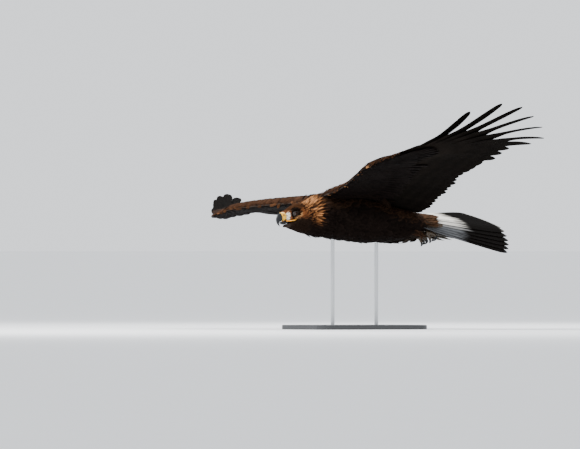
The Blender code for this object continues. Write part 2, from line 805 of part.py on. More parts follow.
def toe_path(side, toe):
    """Stops along a clenched toe and on along its claw: x, y, z and radius."""
    spread, reach, drop = TOES[toe]
    start = Vector((side * 0.028, 0.326, -0.023))
    curl = (
        (0.000, 0.000, 0.0062),
        (0.014, -0.001, 0.0058),
        (0.026, -0.005, 0.0054),
        (0.031, -0.011, 0.0046),
    )
    talon = (
        (0.0305, -0.0100, 0.0037),
        (0.0330, -0.0165, 0.0033),
        (0.0300, -0.0225, 0.0024),
        (0.0235, -0.0260, 0.0006),
    )
    paths = []
    for stops in (curl, talon):
        path = []
        for out, down, radius in stops:
            x = start.x + side * spread * 0.5 * out
            y = start.y + reach * out
            path.append((x, y, start.z + down * 0.9 - drop * out, radius))
        paths.append(path)
    return paths


def leg_nodes(torso_cutter):
    """Feathered legs drawn back under the tail, with clenched toes and a claw to each toe."""
    nodes = []
    for label, side in (("left", 1.0), ("right", -1.0)):
        leg = tube(f"leg_{label}", leg_path(side), 12, "golden_eagle")
        cut(leg, torso_cutter)
        ball_of_foot = (side * 0.028, 0.3285, -0.024)
        foot = ball(f"foot_{label}", ball_of_foot, 0.0085, "golden_eagle", segments=10, rings=6)
        pieces = new_collection("pieces")
        for toe in TOES:
            curl, talon = toe_path(side, toe)
            tube("toe", curl, 8, "pieces")
            nodes.append(tube(f"claw_{label}_{toe}", talon, 7, "golden_eagle"))
        fuse(foot, pieces)
        for toe in TOES:
            curl, talon = toe_path(side, toe)
            first = Vector(talon[0][:3])
            second = Vector(talon[1][:3])
            behind = first - (second - first).normalized() * GAP
            pocket = [(*behind, talon[0][3]), *talon]
            cut(foot, tube("claw_clear", pocket, 7, "cutters", grow=GAP), with_itself=True)
        nodes += [leg, foot]
    return nodes


# Stand


def stand_nodes(torso_cutter):
    """A flat steel base with two plain rods up to the breast and the belly."""
    half_x, half_y = BASE_WIDTH / 2 - BASE_CORNER, BASE_LENGTH / 2 - BASE_CORNER
    outline = []
    for k in range(24):
        angle = 2 * math.pi * (k + 0.5) / 24
        x = math.copysign(half_x, math.cos(angle)) + BASE_CORNER * math.cos(angle)
        y = math.copysign(half_y, math.sin(angle)) + BASE_CORNER * math.sin(angle)
        outline.append((x, BASE_Y + y))
    chamfer = 0.0015
    rings = []
    for z, inset in ((0.0, 0.0), (BASE_THICKNESS - chamfer, 0.0), (BASE_THICKNESS, chamfer)):
        share = 1 - inset / (BASE_WIDTH / 2)
        rings.append([Vector((x * share, BASE_Y + (y - BASE_Y) * share, z)) for x, y in outline])
    nodes = [ring_solid("stand_base", rings, "golden_eagle")]
    for label, y in ROD_PLACES.items():
        stops = ((0.0, y, BASE_THICKNESS + 0.0003, ROD_RADIUS), (0.0, y, BODY_HEIGHT - 0.04, ROD_RADIUS))
        rod = tube(f"stand_rod_{label}", stops, 16, "golden_eagle")
        cut(rod, torso_cutter)
        nodes.append(rod)
    return nodes


def centre_on_origin(display, nodes):
    """Moves the whole display so that the centre of its bounding box stands over the origin."""
    bpy.context.view_layer.update()
    corners = [node.matrix_world @ vertex.co for node in nodes for vertex in node.data.vertices]
    for axis in (0, 1):
        reach = [corner[axis] for corner in corners]
        display.location[axis] = -(min(reach) + max(reach)) / 2
    bpy.context.view_layer.update()


def main():
    clear_scene()
    new_collection("golden_eagle")
    new_collection("cutters", hidden=True)
    display = bpy.data.objects.new("eagle_display", None)
    attitude = bpy.data.objects.new("eagle_attitude", None)
    collection_named("golden_eagle").objects.link(display)
    collection_named("golden_eagle").objects.link(attitude)
    attitude.parent = display
    attitude.location = (0.0, 0.0, BODY_HEIGHT)
    attitude.rotation_euler = (-NOSE_UP, -BANK, 0.0)

    finishes = {
        "torso": "dark_brown",
        "neck": "golden_nape",
        "head": "head_brown",
        "cere": "cere_yellow",
        "bill": "horn",
        "eye": "eye_brown",
        "wing": "flight_brown",
        "tail": "tail_white",
        "leg": "leg_buff",
        "foot": "toe_yellow",
        "claw": "horn",
        "stand": "stand_steel",
    }
    torso = body_solid("torso", TORSO_ROWS, 16, 20, "golden_eagle")
    torso_cutter = body_solid("torso_clear", TORSO_ROWS, 16, 20, "cutters", grow=GAP)
    neck = body_solid("neck", NECK_ROWS, 9, 20, "golden_eagle")
    neck_cutter = body_solid("neck_clear", NECK_ROWS, 9, 20, "cutters", grow=GAP)
    head_cutter = body_solid("head_clear", HEAD_ROWS, 11, 20, "cutters", grow=GAP)
    head_cutter.data.transform(head_matrix())
    cut(neck, torso_cutter)
    cut(neck, head_cutter)
    nodes = [torso, neck, *head_nodes()]
    for label, wing in WINGS.items():
        inner = wrist_cutter(f"inner_{label}", wing, outward_part=False)
        outer = wrist_cutter(f"outer_{label}", wing, outward_part=True)
        nodes.append(arm_node(label, wing, [torso_cutter, neck_cutter, outer]))
        nodes.append(hand_node(label, wing, [inner]))
    foot_room = []
    for label, side in (("left", 1.0), ("right", -1.0)):
        centre = (side * 0.028, 0.339, -0.036)
        foot_room.append(ball(f"foot_room_{label}", centre, 0.026, "cutters", squash=(0.90, 1.1, 1.0)))
    nodes.append(tail_node([torso_cutter, *foot_room]))
    nodes += leg_nodes(torso_cutter)
    for node in nodes:
        node.parent = attitude
    torso_cutter.parent = attitude
    bpy.context.view_layer.update()
    for node in stand_nodes(torso_cutter):
        node.parent = display
        nodes.append(node)
    centre_on_origin(display, nodes)
    for node in nodes:
        node.data.materials.clear()
        node.data.materials.append(node_material(f"{finishes[node.name.split('_')[0]]}__{node.name}"))


main()
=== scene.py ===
"""A golden eagle gliding in a shallow bank, life size, on a plain display stand.

Every form of the bird is worked out in its own level frame: X to its left, Y back towards the tail and
Z up, with the origin on the body's axis between the shoulders. BIRD then sets it on the stand.
"""

import math

import bmesh
import bpy
import numpy as np
from bpy.props import FloatProperty, FloatVectorProperty, IntProperty, PointerProperty
from mathutils import Euler, Matrix, Vector
from mathutils.bvhtree import BVHTree


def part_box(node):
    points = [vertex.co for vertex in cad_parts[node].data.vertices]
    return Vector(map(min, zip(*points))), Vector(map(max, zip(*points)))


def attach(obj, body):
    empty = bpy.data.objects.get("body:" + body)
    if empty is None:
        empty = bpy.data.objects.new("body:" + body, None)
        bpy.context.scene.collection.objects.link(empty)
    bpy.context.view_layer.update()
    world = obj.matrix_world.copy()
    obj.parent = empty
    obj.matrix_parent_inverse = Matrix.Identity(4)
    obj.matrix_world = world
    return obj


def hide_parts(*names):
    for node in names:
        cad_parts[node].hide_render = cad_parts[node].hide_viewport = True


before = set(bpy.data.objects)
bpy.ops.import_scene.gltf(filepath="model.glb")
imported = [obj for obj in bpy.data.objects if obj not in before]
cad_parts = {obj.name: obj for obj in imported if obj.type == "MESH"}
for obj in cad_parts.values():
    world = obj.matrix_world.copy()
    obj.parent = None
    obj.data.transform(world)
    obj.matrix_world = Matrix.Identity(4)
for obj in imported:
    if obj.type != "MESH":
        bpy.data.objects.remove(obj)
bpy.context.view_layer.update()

bl_info = {
    "name": "Golden eagle",
    "version": (1, 0, 0),
    "blender": (4, 5, 0),
    "location": "View3D > Sidebar > Eagle",
    "description": "Builds a gliding golden eagle on a display stand, feather by feather",
    "category": "Add Mesh",
}

# Attitude of the bird over its stand
STAND_LOW, STAND_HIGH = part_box("stand_base")
BASE_Y = 0.080
BODY_HEIGHT = 0.36
STAND_CENTRE = (Vector(STAND_LOW) + Vector(STAND_HIGH)) / 2
BIRD_PLACE = Vector((STAND_CENTRE.x, STAND_CENTRE.y - BASE_Y, BODY_HEIGHT))
BANK = Euler((math.radians(-7.0), math.radians(-11.0), 0.0))
BIRD = Matrix.Translation(BIRD_PLACE) @ BANK.to_matrix().to_4x4()
SIDES = (("left", 1.0), ("right", -1.0))

# Wing skeleton and planform, measured outward from the shoulder joint and backward from it
SHOULDER_X = 0.070
SHOULDER_Z = 0.040
WRIST_A = 0.360
WRIST_B = -0.105
DIGIT_A = 0.520
CAMBER = 0.100
VANE_THICKNESS = 0.0009
SMALL_THICKNESS = 0.0005
SHINGLE = math.tan(math.radians(7.0))
LEADING_EDGE = (
    (-0.040, -0.0675),
    (0.10, -0.0757),
    (0.24, -0.1161),
    (WRIST_A, -0.1496),
    (0.44, -0.1371),
    (0.53, -0.1084),
)
TRAILING_EDGE = (
    (-0.040, 0.3066),
    (0.05, 0.2934),
    (0.16, 0.2716),
    (0.26, 0.2516),
    (WRIST_A, 0.2227),
    (0.52, 0.2244),
)

PRIMARIES = 10
PRIMARY_LENGTHS = (0.347, 0.364, 0.386, 0.459, 0.507, 0.509, 0.486, 0.451, 0.380, 0.260)
PRIMARY_SWEEP_TIP = math.radians(27.5)
PRIMARY_SWEEP_WRIST = math.radians(60.0)
PRIMARY_SWEEP_POWER = 1.66
PRIMARY_WIDTH = 0.050
# Where the fingers narrow: on the finger shape as drawn, on the front feather, and the step inwards
WAIST_DRAWN = 0.51
WAIST_FIRST = 0.50
WAIST_STEP = 0.048
# How far a gap between parted barbs reaches in, as a share of the vane
NOTCH_DEPTH = 0.15
SECONDARIES = 16
SECONDARY_WIDTH = 0.042

WINGS = {
    "left": {
        "side": 1.0,
        "arm_dihedral": math.radians(4.9),
        "hand_dihedral": math.radians(7.6),
        "curl": 2.6,
        "droop": 0.0154,
        "tip_rise": (0.004, 0.003, 0.000, -0.015, -0.022, 0.000, 0.030, 0.060, 0.083, 0.0855),
        "tip_turn": (0.0, 0.0, 0.0, 6.0, 7.0, 11.0, 10.0, 7.0, 3.0, 0.0),
        "forward": 0.0,
        "sweep": 0.0,
        "twist": math.radians(5.5),
        "pivot": 0.20,
        "twist_range": (-0.02, 0.30),
    },
    "right": {
        "side": -1.0,
        "arm_dihedral": math.radians(9.5),
        "hand_dihedral": math.radians(7.4),
        "curl": 1.22,
        "droop": 0.0,
        "tip_rise": (0.000, 0.004, 0.020, 0.041, 0.0585, 0.067, 0.0805, 0.0926, 0.0843, 0.0674),
        "tip_turn": (0.0,) * 10,
        "forward": math.radians(-0.7),
        "sweep": 0.009,
        "twist": math.radians(8.0),
        "pivot": 0.05,
        "twist_range": (0.10, 0.40),
    },
}

# Flesh of the wing: place out along it, then chord, thickness above and thickness below
WING_FLESH = (
    (-0.04, 0.190, 0.0240, 0.0210),
    (0.10, 0.200, 0.0210, 0.0190),
    (0.24, 0.190, 0.0185, 0.0160),
    (0.36, 0.150, 0.0155, 0.0130),
    (0.44, 0.115, 0.0115, 0.0100),
    (0.53, 0.055, 0.0070, 0.0060),
)
# Share of that chord, then share of the thickness above and below
FLESH_PROFILE = (
    (0.00, 0.00, 0.00),
    (0.02, 0.30, 0.22),
    (0.06, 0.55, 0.40),
    (0.12, 0.80, 0.52),
    (0.22, 1.00, 0.60),
    (0.38, 0.95, 0.58),
    (0.55, 0.78, 0.50),
    (0.80, 0.42, 0.30),
    (1.00, 0.16, 0.16),
    (1.30, 0.00, 0.00),
)
# The lie of the small coverts, in degrees back from straight out along the wing
COVERT_LIE = ((-0.05, 96.0), (0.15, 88.0), (0.30, 76.0), (0.38, 62.0), (0.46, 45.0), (0.54, 34.0))
# Rows of median and lesser coverts: share of the flesh's chord, length, width, spacing and rise
COVERT_TIERS = (
    (0.74, 0.074, 0.034, 0.0200, 0.0068),
    (0.62, 0.062, 0.030, 0.0180, 0.0052),
    (0.51, 0.054, 0.027, 0.0160, 0.0040),
    (0.41, 0.047, 0.024, 0.0145, 0.0030),
    (0.32, 0.041, 0.021, 0.0130, 0.0024),
    (0.24, 0.035, 0.019, 0.0118, 0.0018),
    (0.17, 0.030, 0.017, 0.0106, 0.0012),
    (0.11, 0.025, 0.015, 0.0096, 0.0008),
    (0.06, 0.020, 0.013, 0.0086, 0.0004),
)

# Share of a feather's length, then of its width towards the wing's front and towards its back
FINGER_SHAPE = (
    (0.00, 0.16, 0.20),
    (0.20, 0.36, 0.52),
    (0.44, 0.40, 0.58),
    (0.58, 0.28, 0.34),
    (0.70, 0.26, 0.33),
    (0.82, 0.25, 0.37),
    (0.95, 0.19, 0.28),
    (0.985, 0.12, 0.17),
    (1.00, 0.02, 0.02),
)
BROAD_SHAPE = (
    (0.00, 0.16, 0.20),
    (0.30, 0.42, 0.54),
    (0.70, 0.44, 0.60),
    (0.91, 0.37, 0.50),
    (0.98, 0.20, 0.28),
    (1.00, 0.03, 0.04),
)
COVERT_SHAPE = (
    (0.00, 0.30, 0.36),
    (0.45, 0.50, 0.54),
    (0.84, 0.42, 0.48),
    (0.96, 0.24, 0.28),
    (1.00, 0.05, 0.05),
)
ROUND_SHAPE = (
    (0.00, 0.30, 0.30), (0.35, 0.46, 0.46), (0.68, 0.50, 0.50), (0.90, 0.36, 0.36), (1.00, 0.07, 0.07),
)
LANCE_SHAPE = (
    (0.00, 0.22, 0.22), (0.28, 0.44, 0.44), (0.52, 0.50, 0.50), (0.78, 0.32, 0.32), (1.00, 0.02, 0.02),
)

# Body forms: place along the body, height of centre, half width, height above and depth below
TORSO_ROWS = (
    (-0.078, -0.012, 0.036, 0.034, 0.034),
    (-0.066, -0.011, 0.054, 0.050, 0.049),
    (-0.040, -0.009, 0.073, 0.064, 0.061),
    (0.000, -0.007, 0.087, 0.075, 0.069),
    (0.050, -0.005, 0.091, 0.077, 0.071),
    (0.120, -0.005, 0.084, 0.070, 0.069),
    (0.200, -0.004, 0.068, 0.058, 0.058),
    (0.260, 0.000, 0.053, 0.050, 0.047),
    (0.310, 0.002, 0.038, 0.038, 0.036),
    (0.345, 0.002, 0.016, 0.012, 0.018),
)
NECK_ROWS = (
    (-0.186, -0.061, 0.009, 0.011, 0.006),
    (-0.173, -0.057, 0.015, 0.012, 0.010),
    (-0.160, -0.052, 0.022, 0.012, 0.015),
    (-0.148, -0.049, 0.028, 0.016, 0.020),
    (-0.134, -0.042, 0.035, 0.024, 0.029),
    (-0.118, -0.030, 0.043, 0.038, 0.045),
    (-0.095, -0.018, 0.055, 0.055, 0.058),
    (-0.060, -0.010, 0.073, 0.068, 0.067),
    (-0.030, -0.007, 0.083, 0.0745, 0.0695),
)
HEAD_ROWS = (
    (-0.031, -0.003, 0.0115, 0.0115, 0.0120),
    (-0.022, -0.004, 0.0175, 0.0165, 0.0175),
    (-0.010, -0.004, 0.0240, 0.0220, 0.0220),
    (0.006, -0.003, 0.0295, 0.0260, 0.0260),
    (0.024, -0.002, 0.0340, 0.0285, 0.0300),
    (0.042, -0.001, 0.0350, 0.0285, 0.0310),
    (0.056, 0.000, 0.0300, 0.0240, 0.0260),
    (0.064, 0.001, 0.0180, 0.0140, 0.0150),
)
TAIL_ROWS = (
    (-0.030, 0.0, 0.024, 0.011, 0.014),
    (0.000, 0.0, 0.032, 0.021, 0.020),
    (0.045, 0.0, 0.042, 0.018, 0.033),
    (0.090, 0.0, 0.042, 0.011, 0.042),
    (0.125, 0.0, 0.028, 0.003, 0.014),
)
TAIL_LENGTH = 0.325
TAIL_SPREAD = math.radians(24.3)
TAIL_ARCH = 0.06
TAIL_FEATHERS = 12
# Coverts over (face 1) and under (face -1) the tail's root: length, width, number and lift of each row
TAIL_COVERTS = (
    (1, ((0.088, 0.030, 11, 0.0095), (0.068, 0.028, 10, 0.0125), (0.048, 0.026, 9, 0.0155))),
    (-1, ((0.160, 0.036, 10, -0.0140), (0.138, 0.034, 9, -0.0220), (0.112, 0.032, 8, -0.0310))),
)
TAIL = Matrix.Translation((0.0, 0.285, 0.018)) @ Matrix.Rotation(math.radians(35.0), 4, "Y")

# Head, in a frame of its own midway between the eyes
HEAD = (
    Matrix.Translation((0.0, -0.154, -0.015))
    @ Matrix.Rotation(math.radians(11.0), 4, "Z")
    @ Matrix.Rotation(math.radians(19.0), 4, "X")
    @ Matrix.Rotation(math.radians(7.0), 4, "Y")
)
EYE_X = 0.0180
EYE_RADIUS = 0.0105
LID_RADIUS = 0.0084
LID_THICKNESS = 0.0013
CORNEA_EDGE = math.radians(34)
CORNEA_BULGE = 0.06
# Bill sections: culmen y and z, cutting edge y and z, half width
CERE_SECTIONS = (
    (-0.0270, 0.0095, -0.0270, -0.0150, 0.0110),
    (-0.0330, 0.0110, -0.0330, -0.0155, 0.0112),
    (-0.0390, 0.0112, -0.0385, -0.0158, 0.0104),
    (-0.0430, 0.0106, -0.0425, -0.0160, 0.0096),
)
HORN_SECTIONS = (
    (-0.0426, 0.0102, -0.0421, -0.0159, 0.0092),
    (-0.0495, 0.0084, -0.0470, -0.0165, 0.0083),
    (-0.0560, 0.0036, -0.0505, -0.0172, 0.0072),
    (-0.0612, -0.0046, -0.0532, -0.0186, 0.0059),
    (-0.0628, -0.0136, -0.0543, -0.0215, 0.0045),
    (-0.0600, -0.0232, -0.0538, -0.0262, 0.0028),
    (-0.0520, -0.0318, -0.0508, -0.0322, 0.0007),
)
LOWER_BILL_SECTIONS = (
    (-0.0250, -0.0170, -0.0250, -0.0270, 0.0090),
    (-0.0330, -0.0172, -0.0330, -0.0285, 0.0085),
    (-0.0410, -0.0174, -0.0410, -0.0272, 0.0072),
    (-0.0470, -0.0180, -0.0465, -0.0242, 0.0050),
    (-0.0496, -0.0194, -0.0492, -0.0212, 0.0022),
)
FOOT_X = 0.028
# Toes: how far each spreads, reaches back and hangs down
TOES = {
    "inner": (-0.62, 0.9, 0.0),
    "middle": (0.0, 1.0, 0.0),
    "outer": (0.62, 0.9, 0.0),
    "hind": (-0.10, 0.45, 0.30),
}

# Camera: pixels to the metre at the bird, and where the bird's origin stands in the picture
PICTURE = (580, 449)
PIXELS_PER_METRE = 317.8
ORIGIN_PIXEL = (332.6, 215.0)
CAMERA_AZIMUTH = math.radians(59.5)
CAMERA_DISTANCE = 55.0
CAMERA_REACH = 1000.0
SENSOR_MM = 36.0
FLOOR_RADIUS = 160.0
# The floor lies this far under the stand, so that the two faces never meet
FLOOR_GAP = 0.0002


def linear(code):
    """A colour written as sRGB hex, turned linear."""
    values = [int(code[i : i + 2], 16) / 255 for i in (1, 3, 5)]
    return tuple(v / 12.92 if v <= 0.04045 else ((v + 0.055) / 1.055) ** 2.4 for v in values)


def swatch(name, description, code):
    """A colour that a user can change, with its default as sRGB hex."""
    return FloatVectorProperty(
        name=name, description=description, subtype="COLOR", size=3, min=0.0, max=1.0, default=linear(code)
    )


def size(name, description, default):
    """A length in metres that a user can change."""
    return FloatProperty(
        name=name, description=description, default=default, min=0.0, subtype="DISTANCE", unit="LENGTH",
    )


class EagleColours(bpy.types.PropertyGroup):
    crown: swatch("Crown", "Feathers of forehead and crown", "#3e2616")
    cheek: swatch("Cheek", "Feathers behind and under the eye", "#7d4a2a")
    nape: swatch("Nape", "Golden hackles of the nape", "#a4683a")
    hackle_tip: swatch("Hackle tips", "Sunlit tips of the hackles", "#dfa06a")
    hackle_base: swatch("Hackle bases", "Dark parts between the hackles", "#1d100a")
    lore: swatch("Lores", "Short white bristles between cere and eye", "#e6ddcd")
    eye_patch: swatch("Eye patch", "Dark feathers round the eye", "#120c09")
    eye_ring: swatch("Eye ring", "Pale feathers under the eye", "#9a6f48")
    throat: swatch("Throat", "Feathers of chin and throat", "#1c130e")
    breast: swatch("Breast", "Feathers of breast and belly", "#0f0a08")
    back: swatch("Back", "Feathers of the back and shoulders", "#1d120c")
    back_edge: swatch("Back edges", "Worn edges of the back's feathers", "#3d2b1e")
    covert: swatch("Wing coverts", "Small feathers on top of the wing", "#241710")
    tawny: swatch("Leading edge", "Small feathers along the wing's front", "#553723")
    under_covert: swatch("Under coverts", "Small feathers under the wing", "#0d0908")
    flight: swatch("Flight feathers", "Primaries and secondaries", "#0d0a08")
    flight_base: swatch("Flight feather bases", "Greyer bases of the flight feathers", "#14100d")
    tail_white: swatch("Tail base", "White base of a young bird's tail", "#e9e4da")
    tail_band: swatch("Tail band", "Dark band at the tail's end", "#080605")
    rump: swatch("Upper tail coverts", "Feathers over the tail's root", "#3d2a1c")
    vent: swatch("Under tail coverts", "Loose feathers under the tail's root", "#3d362f")
    tarsus: swatch("Tarsi", "Feathers of the lower legs", "#1f1a16")
    cere: swatch("Cere", "Wax-like skin at the bill's root", "#e0a92a")
    gape: swatch("Gape", "Fleshy corner of the mouth", "#e08a2c")
    horn_base: swatch("Horn, base", "Blue-black root of the bill's horn", "#15181b")
    horn_tip: swatch("Horn, tip", "Black tip of bill and claws", "#121316")
    iris: swatch("Iris", "Brown iris of a young bird", "#2a160a")
    # painted shade: the toes are yellow, darkened here to dark ochre as they lie in shade
    toe: swatch("Toes", "Scaled skin of the toes", "#33240c")
    stand: swatch("Stand", "Powder coat of the stand's base", "#2e2f31")
    floor: swatch("Floor", "Studio floor", "#f4f5f6")


class EagleSizes(bpy.types.PropertyGroup):
    body_coat: size("Body coat", "Depth of the feather coat over the body's skin", 0.008)
    head_coat: size("Head coat", "Depth of the feather coat over the head's skin", 0.0025)
    wing_coat: size("Wing coat", "Depth of the coverts over the wing's flesh", 0.004)
    body_spacing: size("Body feather spacing", "Distance between the roots of body feathers", 0.0085)
    neck_spacing: size("Hackle spacing", "Distance between the roots of hackles", 0.0050)
    face_spacing: size("Face feather spacing", "Distance between the roots of face feathers", 0.0023)
    skin_voxel: size("Skin fineness", "Size of the cells that the skin is joined at", 0.003)
    seed: IntProperty(name="Seed", description="Start of every random draw", default=7, min=0)


def colours():
    return bpy.context.scene.eagle_colours


def sizes():
    return bpy.context.scene.eagle_sizes


def tint(name):
    """The set colour of that name, linear."""
    return np.array(getattr(colours(), name))


# Curves and tables


def eased(rows, places):
    """The rows' sizes at each place, on a smooth curve through rows that start with their place."""
    rows = np.asarray(rows, float)
    starts = rows[:, 0]
    at = np.clip(np.asarray(places, float), starts[0], starts[-1])
    k = np.clip(np.searchsorted(starts, at, side="right") - 1, 0, len(starts) - 2)
    before, after = np.maximum(k - 1, 0), np.minimum(k + 2, len(starts) - 1)
    span = (starts[k + 1] - starts[k])[..., None]
    t = (at - starts[k])[..., None] / span
    low, high = rows[k], rows[k + 1]
    rise_low = (high - rows[before]) / (starts[k + 1] - starts[before])[..., None] * span
    rise_high = (rows[after] - low) / (starts[after] - starts[k])[..., None] * span
    value = (2 * t**3 - 3 * t**2 + 1) * low + (t**3 - 2 * t**2 + t) * rise_low
    value += (3 * t**2 - 2 * t**3) * high + (t**3 - t**2) * rise_high
    return value[..., 1:]


def smooth(low, high, value):
    """0 below low, 1 above high and a soft slope between them."""
    t = np.clip((value - low) / (high - low), 0.0, 1.0)
    return t * t * (3 - 2 * t)


def mix(first, second, share):
    """A blend from the first to the second by each share."""
    share = np.asarray(share)[..., None]
    return first * (1 - share) + second * share


def unit(vectors):
    return vectors / np.maximum(np.linalg.norm(vectors, axis=-1, keepdims=True), 1e-12)


def moved(matrix, points):
    """The points put through a 4 x 4 matrix."""
    matrix = np.array(matrix)
    return points @ matrix[:3, :3].T + matrix[:3, 3]


def noise_of(points, scale, seed):
    """A smooth random field over points, from -1 to 1, with features about `scale` metres across."""
    random = np.random.default_rng(seed)
    total = np.zeros(points.shape[:-1])
    for _ in range(6):
        wave = random.normal(size=3) / scale
        total += np.sin(points @ wave * 2.2 + random.uniform(0, 6.28))
    return total / 6 * 1.6


# Meshes


def deselect_all():
    for obj in bpy.context.selected_objects:
        obj.select_set(False)


def make_active(obj):
    deselect_all()
    obj.select_set(True)
    bpy.context.view_layer.objects.active = obj


def apply_all(obj):
    """Applies every modifier in its order."""
    make_active(obj)
    for modifier in list(obj.modifiers):
        bpy.ops.object.modifier_apply(modifier=modifier.name)


def settle(obj, matrix=BIRD):
    """Puts the object's place into its mesh and sets it on the stand with the bird."""
    obj.data.transform(matrix @ obj.matrix_world)
    obj.matrix_world = Matrix.Identity(4)
    obj.data.update()


def ring_form(name, rings):
    """A closed form through rings of points, alike in number."""
    count, sides = rings.shape[:2]
    faces = []
    for i in range(count - 1):
        for j in range(sides):
            a, b = i * sides + j, i * sides + (j + 1) % sides
            faces.append((a, b, b + sides, a + sides))
    faces.append(tuple(range(sides)))
    faces.append(tuple(range((count - 1) * sides, count * sides)))
    mesh = bpy.data.meshes.new(name)
    mesh.from_pydata(rings.reshape(-1, 3).tolist(), [], faces)
    obj = bpy.data.objects.new(name, mesh)
    bpy.context.scene.collection.objects.link(obj)
    shaped = bmesh.new()
    shaped.from_mesh(mesh)
    bmesh.ops.recalc_face_normals(shaped, faces=shaped.faces)
    shaped.to_mesh(mesh)
    shaped.free()
    return obj


def body_form(name, rows, count, sides, inset):
    """A form of upright egg-shaped rings, drawn in by the coat's depth."""
    start, end = rows[0][0] + inset, rows[-1][0] - inset
    places = start + (end - start) * (1 - np.cos(np.pi * np.arange(count) / (count - 1))) / 2
    centre, half_width, up, down = eased(rows, places).T[..., None]
    angle = np.arange(sides) / sides * 2 * np.pi
    reach = np.maximum(np.where(np.sin(angle) > 0, up, down) - inset, 0.004)
    across = np.maximum(half_width - inset, 0.004) * np.cos(angle)
    rings = np.stack(
        [across, np.broadcast_to(places[:, None], across.shape), centre + reach * np.sin(angle)], -1,
    )
    return ring_form(name, rings)


def tube(name, path, sides, inset=0.0, smoothly=0):
    """A round tapering limb along a path of (x, y, z, radius)."""
    path = np.asarray(path, float)
    if smoothly:
        steps = np.arange(len(path))
        path = eased(np.column_stack([steps, path]), np.linspace(0, len(path) - 1, smoothly))
    places = [Vector(stop[:3]) for stop in path]
    aside = Vector((0.9, 0.1, 0.3))
    rings = []
    for i, stop in enumerate(path):
        ahead = (places[min(i + 1, len(path) - 1)] - places[max(i - 1, 0)]).normalized()
        aside = (aside - ahead * aside.dot(ahead)).normalized()
        upward = aside.cross(ahead)
        radius = max(stop[3] - inset, 0.0002)
        ring = []
        for j in range(sides):
            angle = 2 * math.pi * j / sides
            ring.append(places[i] + (aside * math.cos(angle) + upward * math.sin(angle)) * radius)
        rings.append([tuple(point) for point in ring])
    return ring_form(name, np.array(rings))


def join_forms(name, forms, voxel, soften):
    """Joins closed forms into one skin and smooths where they meet."""
    deselect_all()
    for form in forms:
        form.select_set(True)
    bpy.context.view_layer.objects.active = forms[0]
    bpy.ops.object.join()
    skin = forms[0]
    skin.name = skin.data.name = name
    remesh = skin.modifiers.new("one skin", "REMESH")
    remesh.mode = "VOXEL"
    remesh.voxel_size = voxel
    relax = skin.modifiers.new("soften", "SMOOTH")
    relax.iterations = soften
    relax.factor = 0.6
    apply_all(skin)
    bpy.ops.object.shade_smooth()
    return skin


# Feathers. A block holds many feathers alike in layout: points[feather, row, column], where the columns
# run over the top from one edge to the other and back underneath, and the rows from root to tip. The
# columns are given as shares of the half width, first over the top and then underneath.

FINE = ((-1.0, -0.62, -0.28, -0.05, 0.05, 0.28, 0.62, 1.0), (0.5, 0.05, -0.05, -0.5))
PLAIN = ((-1.0, -0.5, 0.0, 0.5, 1.0), (0.0,))
SMALL = ((-1.0, 0.0, 1.0), ())
FINE_COLUMNS = len(FINE[0]) + len(FINE[1])
# Rows from root to tip of a primary or tail feather, and of a secondary
LONG_ROWS = 44
SECONDARY_ROWS = 34
# A joined skin has many more faces than this
FEWEST_SKIN_FACES = 1000
# Distance between the roots of the marginal coverts, and of the leg's feathers
MARGINAL_SPACING = 0.0048
LEG_SPACING = 0.0052
# Side of a small feather's island in the map OFBake
SMALL_ISLAND = 0.003
# Where a vane's angles count as sharp edges, and the same for horn and skin
VANE_CREASE = math.radians(55)
HORN_CREASE = math.radians(50)
# How far a small feather's edges hang round the body, per metre of width squared
EDGE_SAG = 6.0


def rows_along(count):
    """Shares of a feather's length, closer together at the tip."""
    t = np.linspace(0.0, 1.0, count)
    return 1 - (1 - t) ** 1.25


def section(top, under, ridge, thick):
    """Across-share and height of every column of a feather's section."""
    top, under = np.array(top), np.array(under)
    crown = ridge * (1 - np.abs(top)) ** 1.6
    belly = ridge * (1 - np.abs(under)) ** 1.6 - thick * (1 - np.abs(under)) ** 0.5 if len(under) else under
    return np.concatenate([top, under]), np.concatenate([crown, belly])


